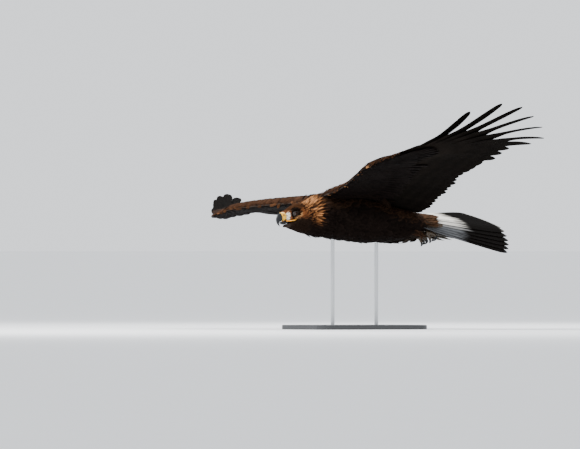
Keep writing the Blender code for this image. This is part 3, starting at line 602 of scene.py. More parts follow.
def block_mesh(name, blocks):
    """One mesh of all the blocks, with the maps `vane` and `OFBake` and the colours `plumage`."""
    points, corners, totals, vane, bake, paint = [], [], [], [], [], []
    base = 0
    for block in blocks:
        grid = block["points"]
        feathers, rows, columns = grid.shape[:3]
        i, j = np.meshgrid(np.arange(rows - 1), np.arange(columns), indexing="ij")
        here, after = i * columns + j, i * columns + (j + 1) % columns
        quads = np.stack([here, after, after + columns, here + columns], -1).reshape(-1, 4)
        root = np.arange(columns)[::-1]
        tip = np.arange(columns) + (rows - 1) * columns
        if block["flip"]:
            quads, root, tip = quads[:, ::-1], root[::-1], tip[::-1]
        loops = np.concatenate([quads.ravel(), root, tip])
        lengths = np.concatenate([np.full(len(quads), 4), [columns, columns]])
        starts = base + np.arange(feathers)[:, None] * rows * columns
        corners.append((starts + loops).ravel())
        totals.append(np.tile(lengths, feathers))
        points.append(grid.reshape(-1, 3))
        across = (block["across"] + 1) / 2
        flat = np.stack(np.broadcast_arrays(across[None, None, :], block["along"][None, :, None]), -1)
        flat = np.broadcast_to(flat, (feathers, rows, columns, 2))
        vane.append(flat.reshape(-1, 2))
        island = flat * np.array(block["strip"]) if "strip" in block else (flat - 0.5) * SMALL_ISLAND
        bake.append((block["bake"][:, None, None, :] + island).reshape(-1, 2))
        paint.append(block["paint"].reshape(-1, 3))
        base += feathers * rows * columns
    points, corners, totals = np.concatenate(points), np.concatenate(corners), np.concatenate(totals)
    vane, bake, paint = np.concatenate(vane), np.concatenate(bake), np.concatenate(paint)
    mesh = bpy.data.meshes.new(name)
    mesh.vertices.add(len(points))
    mesh.vertices.foreach_set("co", moved(BIRD, points).ravel().astype(np.float32))
    mesh.loops.add(len(corners))
    mesh.loops.foreach_set("vertex_index", corners.astype(np.int32))
    mesh.polygons.add(len(totals))
    mesh.polygons.foreach_set("loop_start", (np.cumsum(totals) - totals).astype(np.int32))
    for label, values in (("vane", vane), ("OFBake", np.clip(bake, 0.001, 0.999))):
        layer = mesh.uv_layers.new(name=label)
        layer.data.foreach_set("uv", values[corners].ravel().astype(np.float32))
    colour = mesh.color_attributes.new("plumage", "FLOAT_COLOR", "POINT")
    full = np.column_stack([np.clip(paint, 0.0, 1.0), np.ones(len(paint))])
    colour.data.foreach_set("color", full.ravel().astype(np.float32))
    mesh.update()
    mesh.validate()
    obj = bpy.data.objects.new(name, mesh)
    bpy.context.scene.collection.objects.link(obj)
    make_active(obj)
    bpy.ops.object.shade_smooth_by_angle(angle=VANE_CREASE)
    return obj


def painted(base, tip, edge, along, across, tip_from=0.6, edge_share=0.6, shaft=0.0):
    """Colours of each feather from its root colour, its tip colour and its edges' colour."""
    t = smooth(tip_from, 1.0, along)[None, :, None]
    s = np.abs(across)[None, None, :]
    shape = (len(base), len(along), len(across))
    colour = mix(base[:, None, None, :], tip[:, None, None, :], np.broadcast_to(t, shape))
    rim = np.maximum(s**3, smooth(0.86, 1.0, along)[None, :, None]) * edge_share
    colour = mix(colour, edge[:, None, None, :], np.broadcast_to(rim, shape))
    dark = 1 - shaft * np.exp(-((s / 0.22) ** 2))
    return colour * np.broadcast_to(dark, shape)[..., None]


def varied(colour, count, random, spread=0.16):
    """The colour for each of `count` feathers, lighter or darker at random."""
    share = 1 + spread * random.normal(size=(count, 1)).clip(-2, 2)
    return np.broadcast_to(colour, (count, 3)) * share


# Wing sheet


def leading_edge(a):
    """Place of the wing's front edge, metres behind the shoulder joint."""
    return eased(LEADING_EDGE, a)[..., 0]


def trailing_edge(a):
    """Place of the wing's back edge without its primaries, on the same measure."""
    return eased(TRAILING_EDGE, a)[..., 0]


def wing_sheet(wing, a, b, lift):
    """Points of the wing, a metres out and b metres behind the shoulder joint, `lift` over its sheet."""
    a, b, lift = np.broadcast_arrays(a, b, lift)
    outer = np.maximum(a - WRIST_A, 0.0)
    rise = np.minimum(a, WRIST_A) * math.tan(wing["arm_dihedral"]) + outer * math.tan(wing["hand_dihedral"])
    lead, trail = leading_edge(a), trailing_edge(a)
    share = np.clip((b - lead) / (trail - lead), 0.0, 1.0) ** 0.72
    fade = 1.0 - np.minimum(outer / 0.20, 1.0) ** 1.5
    arch = CAMBER * fade * 4 * share * (1 - share) * (trail - lead) * 0.5
    start, end = wing["twist_range"]
    share_of_twist = np.clip((a - start) / (end - start), 0.0, 1.0)
    rise = rise + math.tan(wing["twist"]) * (b - wing["pivot"]) * share_of_twist
    drawn_back = wing["sweep"] * np.clip(a / 0.5, 0.0, 1.0) ** 2
    return np.stack([wing["side"] * (SHOULDER_X + a), b + drawn_back, SHOULDER_Z + rise + arch + lift], -1)


def flesh_lift(a, b, face):
    """Height of the wing's flesh over (face 1) or under (face -1) its sheet."""
    chord, above, below = np.moveaxis(eased(WING_FLESH, a), -1, 0)
    share = (b - leading_edge(a)) / chord
    profile = np.array(FLESH_PROFILE)
    column, thick = (1, above) if face > 0 else (2, below)
    return np.interp(share, profile[:, 0], profile[:, column]) * thick


def wing_skin(label, wing, inset):
    """The wing's flesh, from inside the body out to the last finger bone."""
    profile = np.array(FLESH_PROFILE[:-1])
    rings = []
    for a in np.linspace(-0.04, DIGIT_A + 0.004, 30):
        chord, above, below = eased(WING_FLESH, a)
        b = leading_edge(a) + inset + profile[:, 0] * (chord - inset)
        top = wing_sheet(wing, a, b, np.maximum(profile[:, 1] * above - inset, 0.0006))
        under = wing_sheet(wing, a, b[::-1], -np.maximum(profile[::-1, 2] * below - inset, 0.0006))
        rings.append(np.concatenate([top, under]))
    return ring_form(f"wing_{label}_flesh", np.array(rings))


def lay_on_wing(wing, face, roots, angles, lengths, widths, shape, lifts, ridge, columns, rows, **more):
    """Points of feathers on one face of a wing.

    roots holds places (a, b), angles the lie of each feather, and lifts gives the height over the sheet
    from the places of all the points and the shares of length.
    """
    along = rows_along(rows)
    across, height = section(*columns, ridge, more.get("thick", VANE_THICKNESS))
    drawn = along[None, :]
    if "waist" in more:
        waist = more["waist"][:, None]
        beyond = WAIST_DRAWN + (along - waist) * (1 - WAIST_DRAWN) / (1 - waist)
        drawn = np.where(along <= waist, along * WAIST_DRAWN / waist, beyond)
    table = eased(shape, drawn)
    reach = np.where(across > 0, table[..., :1], table[..., 1:2]) * across
    run = np.stack([np.cos(angles), np.sin(angles)], -1)[:, None, None, :]
    forward = np.stack([run[..., 1], -run[..., 0]], -1)
    length, width = np.asarray(lengths)[:, None, None, None], np.asarray(widths)[:, None, None, None]
    notch = more.get("notch", np.ones((len(angles), rows, len(across))))
    aside = reach[..., None] * width * notch[..., None]
    place = roots[:, None, None, :] + run * along[None, :, None, None] * length + forward * aside
    a, b = place[..., 0], place[..., 1]
    t = np.broadcast_to(along[None, :, None], a.shape)
    slope = SHINGLE * more.get("shingle", 1.0)
    if "turn" in more:
        slope = np.tan(math.atan(SHINGLE) - more["turn"][:, None, None] * smooth(0.55, 0.90, t))
    lift = lifts(a, b, t) * face + aside[..., 0] * slope + height * face
    return {
        "points": wing_sheet(wing, a, b, lift),
        "across": across,
        "along": along,
        "flip": wing["side"] * face < 0,
    }


def primary_places(wing):
    """Roots, lies and lengths of the primaries, from the one by the wrist outwards."""
    out = np.arange(PRIMARIES) / (PRIMARIES - 1)
    roots = np.stack([WRIST_A + 0.018 + out * (DIGIT_A - WRIST_A - 0.030), WRIST_B + 0.032 - 0.022 * out], -1)
    sweep = PRIMARY_SWEEP_TIP + (PRIMARY_SWEEP_WRIST - PRIMARY_SWEEP_TIP) * (1 - out) ** PRIMARY_SWEEP_POWER
    return roots, sweep - wing["forward"] * out, np.array(PRIMARY_LENGTHS)


def secondary_places(count, extra=0.0):
    """Roots, lies and lengths of the secondaries, from the one by the wrist inwards."""
    inward = np.arange(count) / (count - 1) * (1 + extra)
    a = WRIST_A - 0.012 - inward * (WRIST_A - 0.020)
    lead, trail = leading_edge(a), trailing_edge(a)
    roots = np.stack([a, lead + 0.30 * (trail - lead)], -1)
    lean = math.radians(29.0) * np.maximum(1 - inward, 0.0) ** 1.5 - math.radians(2.0)
    tip_a = a + np.tan(lean) * (trail - roots[:, 1])
    run = np.stack([tip_a, trailing_edge(tip_a)], -1) - roots
    return roots, np.arctan2(run[:, 1], run[:, 0]), np.linalg.norm(run, axis=-1)


def notches(count, rows, random, splits):
    """Small gaps where the barbs of a vane have parted, each on one side of the shaft."""
    open_share = np.ones((count, rows, FINE_COLUMNS))
    for feather in range(count):
        for _ in range(random.poisson(splits)):
            row = random.integers(int(rows * 0.35), rows - 2)
            side = random.choice((-1, 1))
            edge = 0 if side < 0 else len(FINE[0]) - 1
            open_share[feather, row, edge] = 1 - NOTCH_DEPTH * random.uniform(0.5, 1.0)
    return open_share


def wing_bake(roots, left, low, wide=0.40, high=0.40):
    """Places of wing feathers on a flat unwrap of one face of the wing."""
    u = left + (roots[:, 0] + 0.05) / 0.60 * wide
    v = low + (roots[:, 1] + 0.15) / 0.45 * high
    return np.stack([u, v], -1)


def strip_bake(total, left, width, low, high):
    """Corner of each large feather's own strip of the unwrap."""
    wide = width / total
    corner = np.stack([left + np.arange(total) * wide + wide * 0.1, np.full(total, low)], -1)
    return corner, (wide * 0.8, high)


def flight_blocks(wing, random):
    """Primaries and secondaries, in two blocks."""
    blocks = []
    roots, angles, lengths = primary_places(wing)
    rise = np.array(wing["tip_rise"])[:, None, None]
    for fingers in (True, False):
        chosen = np.arange(PRIMARIES) >= 4 if fingers else np.arange(PRIMARIES) < 4
        count = int(chosen.sum())

        def lifts(a, b, t, chosen=chosen):
            return rise[chosen] * t ** wing["curl"] - wing["droop"] * t**8

        fingered = {}
        if fingers:
            fingered["waist"] = WAIST_FIRST + WAIST_STEP * (PRIMARIES - 1 - np.flatnonzero(chosen))
        block = lay_on_wing(
            wing, 1, roots[chosen], angles[chosen], lengths[chosen], np.full(count, PRIMARY_WIDTH),
            FINGER_SHAPE if fingers else BROAD_SHAPE, lifts, 0.0010, FINE, LONG_ROWS,
            notch=notches(count, LONG_ROWS, random, 0.6),
            turn=np.radians(np.array(wing["tip_turn"])[chosen]), **fingered,
        )
        paint_flight(block, count, random)
        left = 0.02 if fingers else 0.34
        block["bake"], block["strip"] = strip_bake(count, left, 0.30 if fingers else 0.20, 0.02, 0.46)
        blocks.append(block)
    first_root, first_lie, first_length = (values[0] for values in primary_places(wing))
    roots, angles, lengths = secondary_places(SECONDARIES + 1, 1.0 / SECONDARIES)
    # one more feather closes the fan between the last secondary and the first primary
    roots = np.concatenate([[(roots[0] + first_root) / 2], roots])
    angles = np.concatenate([[(angles[0] + first_lie) / 2], angles])
    lengths = np.concatenate([[(lengths[0] + first_length) / 2], lengths])
    lengths = lengths * (1 + 0.012 * random.normal(size=len(lengths)))
    count = len(lengths)
    widths = np.full(count, SECONDARY_WIDTH)
    widths[:3] *= 1.3
    block = lay_on_wing(
        wing, 1, roots, angles, lengths, widths, BROAD_SHAPE,
        lambda a, b, t: -0.0004 * t, 0.0008, FINE, SECONDARY_ROWS,
        notch=notches(count, SECONDARY_ROWS, random, 0.5),
    )
    paint_flight(block, count, random)
    block["bake"], block["strip"] = strip_bake(count, 0.02, 0.96, 0.52, 0.44)
    blocks.append(block)
    return blocks


def paint_flight(block, count, random):
    """Dark flight feathers, greyer and faintly barred towards the root, with a worn pale tip edge."""
    along, across = block["along"], block["across"]
    dark = varied(tint("flight"), count, random, 0.10)
    base = varied(tint("flight_base"), count, random, 0.12)
    colour = painted(base, dark, dark * 1.5, along, across, tip_from=0.15, edge_share=0.5)
    dim = smooth(0.25, 0.60, along)[None, :, None]
    colour = mix(
        colour, np.broadcast_to(dark[:, None, None, :], colour.shape),
        np.broadcast_to(dim, colour.shape[:3]),
    )
    # faint bars, about seven to a feather
    bars = 0.86 + 0.14 * np.sin(along * 42.0)[None, :, None, None]
    block["paint"] = colour * bars


def covert_tiers(wing, face, random):
    """All the coverts on one face of a wing, from the greater coverts forward to the leading edge."""
    blocks = []
    hue, front_hue = ("covert", "tawny") if face > 0 else ("under_covert", "under_covert")
    corner = (0.04, 0.04) if face > 0 else (0.04, 0.54)

    # greater coverts of the arm and the hand
    roots, angles, lengths = secondary_places(SECONDARIES + 1, 1.0 / SECONDARIES)
    run = np.stack([np.cos(angles), np.sin(angles)], -1)
    share = 0.40 if face > 0 else 0.37
    start = roots + run * lengths[:, None] * 0.03
    block = lay_on_wing(
        wing, face, start, angles, lengths * (share + 0.01 * random.normal(size=len(lengths))),
        np.full(len(lengths), 0.041), COVERT_SHAPE, lambda a, b, t: 0.0042 + 0.0018 * t, 0.0009, PLAIN, 14,
        shingle=face,
    )
    block["paint"] = paint_coverts(block, hue, hue, len(lengths), random, 0.75)
    block["bake"] = wing_bake(start, *corner)
    blocks.append(block)
    roots, angles, lengths = primary_places(wing)
    rise = np.array(wing["tip_rise"])
    share = 0.34 if face > 0 else 0.31

    def with_hand(a, b, t):
        return 0.0040 + 0.0018 * t + face * (rise[:, None, None] * (t * share) ** wing["curl"])

    block = lay_on_wing(
        wing, face, roots, angles, lengths * share, np.full(PRIMARIES, 0.036), COVERT_SHAPE, with_hand,
        0.0009, PLAIN, 14, shingle=face,
    )
    block["paint"] = paint_coverts(block, hue, hue, PRIMARIES, random, 0.6)
    block["bake"] = wing_bake(roots, *corner)
    blocks.append(block)

    for number, (at, length, width, spacing, pad) in enumerate(COVERT_TIERS):
        a = np.arange(-0.018 + spacing * 0.5 * (number % 2), DIGIT_A + 0.012, spacing)
        a = a + spacing * 0.12 * random.normal(size=len(a))
        chord = eased(WING_FLESH, a)[:, 0]
        b = leading_edge(a) + at * chord + 0.002 * random.normal(size=len(a)) * (at > 0.03)
        shrink = 1 - 0.45 * smooth(0.36, 0.54, a)
        angle = np.radians(eased(COVERT_LIE, a)[:, 0] + 4.0 * random.normal(size=len(a)))
        sink = 0.0032 * shrink

        def lifts(a, b, t, pad=pad, sink=sink[:, None, None]):
            flesh = flesh_lift(a, b, face)
            floor = np.maximum(flesh, pad)
            return floor - sink * (1 - t) + 0.0012 * t

        block = lay_on_wing(
            wing, face, np.stack([a, b], -1), angle,
            length * shrink * (1 + 0.06 * random.normal(size=len(a))),
            width * shrink, ROUND_SHAPE, lifts, 0.0007, PLAIN, 9, shingle=0.5 * face, thick=0.0006,
        )
        light = smooth(0.10, 0.0, at) if face > 0 else 0.0
        block["paint"] = paint_coverts(block, hue, front_hue, len(a), random, 0.9, light)
        block["bake"] = wing_bake(np.stack([a, b], -1), *corner)
        blocks.append(block)
    return blocks


def paint_coverts(block, hue, front_hue, count, random, fringe, light=0.0):
    """Brown coverts with paler worn edges, lighter towards the wing's front."""
    base = mix(tint(hue), tint(front_hue), light)
    base = varied(base, count, random, 0.16)
    edge = base * (1.0 + 0.7 * fringe)
    return painted(base * 0.8, base, edge, block["along"], block["across"], 0.3, 0.55, shaft=0.25)


def marginal_coverts(wing, random):
    """The smallest coverts, laid round the wing's front edge on both faces."""
    points, corners, middle, tree = skin_surface()

    def out_and_behind(places):
        out = wing["side"] * places[:, 0] - SHOULDER_X
        drawn_back = wing["sweep"] * np.clip(out / 0.5, 0.0, 1.0) ** 2
        return out, places[:, 1] - drawn_back - leading_edge(out)

    out, behind = out_and_behind(middle)
    chosen = (out > 0.0) & (out < DIGIT_A + 0.002) & (behind < 0.017)
    roots, normals = scatter(points, corners, chosen, MARGINAL_SPACING, random)
    out, behind = out_and_behind(roots)
    count = len(roots)
    above = smooth(-0.35, 0.15, normals[:, 2])
    low, high = varied(tint("under_covert"), count, random, 0.2), varied(tint("tawny"), count, random, 0.25)
    top = varied(tint("covert"), count, random, 0.2)
    base = mix(mix(low, high, above), top, smooth(0.35, 0.75, normals[:, 2]))
    # painted sunlight: a few side- and down-facing feathers on the left wing's front edge take the hackles'
    # sunlit tip colour as glints of light
    pale = (random.uniform(size=count) < 0.10) * (normals[:, 2] < 0.2) * 0.5
    base = mix(base, tint("hackle_tip"), pale * (wing["side"] > 0))
    flows = unit(np.array([wing["side"] * 0.8, 0.6, 0.0]) + 0.10 * random.normal(size=roots.shape))
    shrink = 1 - 0.35 * smooth(0.36, 0.54, out)
    block = coat_block(
        tree, roots, normals, 0.015 * shrink * (1 + 0.1 * random.normal(size=count)), 0.0085 * shrink,
        ROUND_SHAPE,
        (np.full(count, -0.0006), 0.0030 + 0.0004 * random.normal(size=count)), SMALL, 6, random,
        flows=flows, colour=(base * 0.7, base, base * 1.4), edge_share=0.5,
    )
    u = 0.04 + (out + 0.01) / (DIGIT_A + 0.02) * 0.92
    block["bake"] = np.stack([u, 0.5 + 0.44 * normals[:, 2]], -1)
    return block


def alula_block(wing, random):
    """The four feathers of the thumb, lying along the front of the hand."""
    a = WRIST_A + 0.012 + 0.010 * np.arange(4)
    b = leading_edge(a) + 0.012 + 0.009 * np.arange(4)
    angles = np.radians(33.0 + 5.0 * np.arange(4))
    lengths = 0.125 - 0.016 * np.abs(np.arange(4) - 1)

    def lifts(a, b, t):
        return np.maximum(flesh_lift(a, b, 1), 0.004) + 0.0018 + 0.001 * t

    block = lay_on_wing(
        wing, 1, np.stack([a, b], -1), angles, lengths, np.full(4, 0.026), COVERT_SHAPE, lifts, 0.0008,
        PLAIN, 14,
    )
    block["paint"] = paint_coverts(block, "covert", "covert", 4, random, 0.4)
    block["bake"] = wing_bake(np.stack([a, b], -1), 0.04, 0.04)
    return block


# Feathers on the skin


def skin_surface():
    """The skin in the bird's own frame: points, triangles, their middles and a tree to lay feathers on."""
    skin = bpy.data.objects["skin"]
    mesh = skin.data
    mesh.calc_loop_triangles()
    points = np.empty(len(mesh.vertices) * 3, np.float32)
    mesh.vertices.foreach_get("co", points)
    points = moved(BIRD.inverted(), points.reshape(-1, 3).astype(float))
    corners = np.empty(len(mesh.loop_triangles) * 3, np.int32)
    mesh.loop_triangles.foreach_get("vertices", corners)
    corners = corners.reshape(-1, 3)
    tree = BVHTree.FromPolygons(points.tolist(), corners.tolist())
    return points, corners, points[corners].mean(axis=1), tree


def scatter(points, corners, chosen, spacing, random):
    """Places spread evenly over the chosen triangles, no two nearer than the spacing."""
    corner = points[corners[chosen]]
    normal = np.cross(corner[:, 1] - corner[:, 0], corner[:, 2] - corner[:, 0])
    area = np.linalg.norm(normal, axis=1) / 2
    count = int(area.sum() / spacing**2 * 5)
    pick = np.searchsorted(np.cumsum(area), random.uniform(0, area.sum(), count)).clip(0, len(area) - 1)
    u, v = random.uniform(size=(2, count))
    over = u + v > 1
    u[over], v[over] = 1 - u[over], 1 - v[over]
    first, second, third = corner[pick, 0], corner[pick, 1], corner[pick, 2]
    places = first + (second - first) * u[:, None] + (third - first) * v[:, None]
    normals = unit(normal[pick])
    cells, kept = {}, []
    nearby = [(x, y, z) for x in (-1, 0, 1) for y in (-1, 0, 1) for z in (-1, 0, 1)]
    keys = np.floor(places / spacing).astype(int).tolist()
    listed = places.tolist()
    limit = spacing**2
    for number, (key, place) in enumerate(zip(keys, listed)):
        near = (other for x, y, z in nearby for other in cells.get((key[0] + x, key[1] + y, key[2] + z), ()))
        if all(sum((p - q) ** 2 for p, q in zip(place, other)) >= limit for other in near):
            cells.setdefault(tuple(key), []).append(place)
            kept.append(number)
    return places[kept], normals[kept]


def lay_on_skin(
    tree, roots, normals, flows, lengths, widths, shape, lifts, columns, rows, tilt, ridge=0.0006
):
    """Points of feathers that follow the skin from their roots, rising from lifts[0] to lifts[1]."""
    along = rows_along(rows)
    across, height = section(*columns, ridge, SMALL_THICKNESS)
    count = len(roots)
    lines, ups = np.empty((count, rows, 3)), np.empty((count, rows, 3))
    steps = np.diff(along)
    for i in range(count):
        place, up, ahead = Vector(roots[i]), Vector(normals[i]), Vector(flows[i])
        for k in range(rows):
            lines[i, k], ups[i, k] = place, up
            if k < rows - 1:
                step = lengths[i] * steps[k]
                ahead = (ahead - up * ahead.dot(up)).normalized()
                target = place + ahead * step
                near, facing, _, gap = tree.find_nearest(target)
                if gap < step * 1.2 and facing.dot(up) > -0.2:
                    place, up = near, (up * 0.6 + facing * 0.4).normalized()
                else:
                    place = target
    run = unit(np.gradient(lines, axis=1))
    aside = unit(np.cross(run, ups))
    table = eased(shape, along)
    reach = np.where(across[None, :] > 0, table[:, :1], table[:, 1:2]) * across[None, :]
    spread = reach[None] * np.asarray(widths)[:, None, None]
    low, high = np.asarray(lifts[0]), np.asarray(lifts[1])
    rise = low[:, None] + (high - low)[:, None] * along[None, :]
    lift = rise[:, :, None] + height[None, None, :] + tilt[:, None, None] * spread - EDGE_SAG * spread**2
    beside, over = aside[:, :, None, :] * spread[..., None], ups[:, :, None, :] * lift[..., None]
    points = lines[:, :, None, :] + beside + over
    return {"points": points, "across": across, "along": along, "flip": False}


def body_bake(roots):
    """Places on an unwrap of the body: round it one way, and from bill to tail the other."""
    u = 0.5 + np.arctan2(roots[:, 0], roots[:, 2] + 0.01) / (2 * np.pi) * 0.94
    v = 0.03 + (roots[:, 1] + 0.24) / 0.70 * 0.94
    return np.stack([u, v], -1)


def in_head(points):
    """The points in the head's own frame."""
    return moved(HEAD.inverted(), points)


def lie_of(roots, random, wander):
    """The way the coat lies: back from the bill over head and neck, and tailwards on the body."""
    head = in_head(roots)
    back = np.array(HEAD.to_3x3() @ Vector((0.0, 1.0, 0.0)))
    fall = np.array(HEAD.to_3x3() @ Vector((0.0, 1.0, -0.42)))
    low = smooth(0.004, -0.020, head[:, 2])
    from_head = mix(back, fall, low)
    share = smooth(-0.135, -0.060, roots[:, 1])
    outward = np.sign(roots[:, 0]) * smooth(0.03, 0.08, np.abs(roots[:, 0]))
    outward = outward * smooth(-0.10, -0.02, roots[:, 1]) * smooth(0.16, 0.02, roots[:, 1])
    tailward = np.stack([outward * 0.30, np.ones(len(roots)), -0.05 * np.ones(len(roots))], -1)
    flow = mix(from_head, tailward, share)
    return unit(flow + wander * random.normal(size=flow.shape))


def coat_colour(roots, normals, random):
    """Root, tip and edge colour of each body feather, by its place."""
    # every zone is a soft step between two places, in metres in the bird's own frame or in the head's
    head = in_head(roots)
    y, z = roots[:, 1], roots[:, 2]
    count = len(roots)
    # painted shade: feathers facing down, and the flanks under the wings, take the breast's near-black colour
    down = smooth(0.50, 0.05, normals[:, 2])
    painted_flank_shade = smooth(0.060, 0.075, np.abs(roots[:, 0])) * smooth(0.075, 0.055, z)
    down = np.maximum(down, painted_flank_shade)
    patch = np.clip(noise_of(roots, 0.03, 5) * 0.4 + 0.5 + 0.25 * random.normal(size=count), 0.0, 1.0)

    # body: dark brown back with worn edges, blackish breast and belly; the breast's dark colour on feathers
    # facing down is partly their own and partly painted shade
    base = mix(tint("back"), tint("breast"), down)
    edge = mix(tint("back_edge"), tint("breast") * 1.6, down)
    tip = base * 1.05

    # loose grey-brown feathers under the tail's root, browner ones over it
    vent = smooth(0.275, 0.310, y) * down
    base, edge, tip = (mix(c, tint("vent"), vent) for c in (base, edge, tip))
    rump = smooth(0.26, 0.31, y) * (1 - down)
    base, edge, tip = (mix(c, tint("rump"), rump * 0.8) for c in (base, edge, tip))

    # golden hackles on nape and sides of the neck, with painted sunlight on their tips, stronger higher up
    gold = smooth(0.012, 0.040, head[:, 1]) * smooth(-0.082, -0.106, y)
    gold = gold * smooth(-0.050, -0.012, z + 0.25 * (y + 0.12))
    painted_sunlight = gold * (0.35 + 0.65 * smooth(-0.01, 0.03, z))
    base = mix(base, tint("hackle_base"), gold)
    tip = mix(tip, mix(tint("nape"), tint("hackle_tip"), patch * painted_sunlight), gold)
    edge = mix(edge, tint("hackle_base") * 1.5, gold)

    # face
    on_head = smooth(0.034, 0.012, head[:, 1])
    throat = smooth(-0.008, -0.022, head[:, 2])
    high = smooth(0.004, 0.014, head[:, 2])
    face = mix(mix(tint("cheek"), tint("throat"), throat), tint("crown"), high)
    base = mix(base, face * 0.75, on_head)
    tip = mix(tip, face * 1.1, on_head)
    edge = mix(edge, face, on_head)
    from_eye = np.hypot(head[:, 1], head[:, 2])
    sideways = smooth(0.010, 0.014, np.abs(head[:, 0]))
    ring = sideways * smooth(0.0175, 0.0150, from_eye) * smooth(0.0090, 0.0108, from_eye)
    ring = ring * smooth(0.001, -0.004, head[:, 2] - 0.25 * head[:, 1])
    dark = sideways * smooth(0.019, 0.0145, from_eye) * smooth(-0.003, 0.003, head[:, 2])
    dark = np.maximum(dark, sideways * smooth(0.0112, 0.0100, from_eye))
    dark = np.maximum(dark, sideways * smooth(0.0185, 0.0160, from_eye) * smooth(-0.004, -0.008, head[:, 1]))
    lore = smooth(0.0060, 0.0085, np.abs(head[:, 0])) * smooth(-0.0180, -0.0205, head[:, 1])
    lore = lore * smooth(0.0070, 0.0040, head[:, 2]) * smooth(-0.020, -0.016, head[:, 2])
    for name, share in (("eye_ring", ring), ("eye_patch", dark), ("lore", lore)):
        base, tip, edge = (mix(c, tint(name), share) for c in (base, tip, edge))
    light = 1 + 0.13 * random.normal(size=(count, 1)).clip(-2, 2)
    return base * light, tip * light, edge * light


def coat_block(tree, roots, normals, lengths, widths, shape, lifts, columns, rows, random, **more):
    """Feathers laid on the skin, coloured by their place unless `colour` is given."""
    flows = more.pop("flows", None)
    if flows is None:
        flows = lie_of(roots, random, more.pop("wander"))
    look = {key: more.pop(key) for key in ("tip_from", "edge_share", "shaft") if key in more}
    colour = more.pop("colour", None) or coat_colour(roots, normals, random)
    tilt = random.normal(size=len(roots)) * 0.10
    block = lay_on_skin(
        tree, roots, normals, flows, lengths, widths, shape, lifts, columns, rows, tilt, **more,
    )
    block["paint"] = painted(*colour, block["along"], block["across"], **look)
    block["bake"] = body_bake(roots)
    return block


# Materials


def new_material(name):
    """A material with its shader node."""
    made = bpy.data.materials.new(name)
    made.use_nodes = True
    return made, made.node_tree.nodes["Principled BSDF"]


def add_node(material, kind, values=None, links=None, **settings):
    """Adds a node with its settings, its sockets' values and the links into it."""
    node = material.node_tree.nodes.new(kind)
    for key, value in settings.items():
        setattr(node, key, value)
    return wire(material, node, values, links)


def wire(material, node, values=None, links=None):
    """Sets a node's socket values and makes the links into it."""
    for socket, value in (values or {}).items():
        node.inputs[socket].default_value = value
    for socket, source in (links or {}).items():
        material.node_tree.links.new(source, node.inputs[socket])
    return node


def set_stops(ramp, *stops):
    """Gives a colour ramp its stops, each a position and a colour."""
    elements = ramp.color_ramp.elements
    while len(elements) < len(stops):
        elements.new(0.5)
    for element, (position, shade) in zip(elements, stops):
        element.position = position
        element.color = (*shade, 1.0)


# A full turn of the sine, which draws one barb's dark and light line
FULL_TURN = 6.283


def plumage_material(name, barbs, slant, strength, roughness):
    """Keratin feather vanes: the painted colours, with barbs slanting off the shaft as lines and bump."""
    if name in bpy.data.materials:
        return bpy.data.materials[name]
    made, shader = new_material(name)
    colour = add_node(made, "ShaderNodeAttribute", attribute_name="plumage")
    flat = add_node(made, "ShaderNodeUVMap", uv_map="vane")
    split = add_node(made, "ShaderNodeSeparateXYZ", links={0: flat.outputs[0]})
    off_shaft = add_node(made, "ShaderNodeMath", {1: 0.5}, {0: split.outputs[0]}, operation="SUBTRACT")
    away = add_node(made, "ShaderNodeMath", links={0: off_shaft.outputs[0]}, operation="ABSOLUTE")
    slide = add_node(made, "ShaderNodeMath", {1: -slant}, {0: away.outputs[0]}, operation="MULTIPLY")
    phase = add_node(
        made, "ShaderNodeMath", {1: barbs * FULL_TURN}, {0: split.outputs[1], 2: slide.outputs[0]},
        operation="MULTIPLY_ADD",
    )
    place = add_node(made, "ShaderNodeTexCoord")
    # Wear and dust vary over about 12 mm
    wear = add_node(
        made, "ShaderNodeTexNoise", {"Scale": 1 / 0.012, "Detail": 3.0},
        {"Vector": place.outputs["Object"]},
    )
    shift = add_node(
        made, "ShaderNodeMath", {1: 1.5}, {0: wear.outputs[0], 2: phase.outputs[0]},
        operation="MULTIPLY_ADD",
    )
    line = add_node(made, "ShaderNodeMath", links={0: shift.outputs[0]}, operation="SINE")
    shade = add_node(
        made, "ShaderNodeMapRange", {1: -1.0, 2: 1.0, 3: 0.96, 4: 1.03}, {0: line.outputs[0]}
    )
    cloud = add_node(made, "ShaderNodeMapRange", {1: 0.3, 2: 0.7, 3: 0.88, 4: 1.12}, {0: wear.outputs[0]})
    both = add_node(
        made, "ShaderNodeMath", links={0: shade.outputs[0], 1: cloud.outputs[0]}, operation="MULTIPLY",
    )
    scaled = add_node(
        made, "ShaderNodeVectorMath", links={0: colour.outputs["Color"], 3: both.outputs[0]},
        operation="SCALE",
    )
    bump = add_node(
        made, "ShaderNodeBump", {"Strength": strength, "Distance": 0.0006}, {"Height": line.outputs[0]},
    )
    wire(
        made, shader,
        {"Roughness": roughness, "IOR": 1.40, "Specular IOR Level": 0.02, "Sheen Weight": 0.0,
         "Sheen Roughness": 0.5},
        {"Base Color": scaled.outputs[0], "Normal": bump.outputs[0]},
    )
    return made


def body_plumage():
    return plumage_material("contour_feather_keratin", 22.0, 30.0, 0.30, 0.78)


def flight_plumage():
    return plumage_material("flight_feather_keratin", 150.0, 60.0, 0.04, 0.90)


def finish_piece(piece, material, slot, *nodes):
    """Gives a piece its material and body, and hides the nodes it stands in for. The slot is not used."""
    piece.data.materials.clear()
    piece.data.materials.append(material)
    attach(piece, "root")
    if nodes:
        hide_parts(*nodes)


# Pieces


class PieceOperator:
    bl_options = {"REGISTER", "UNDO"}


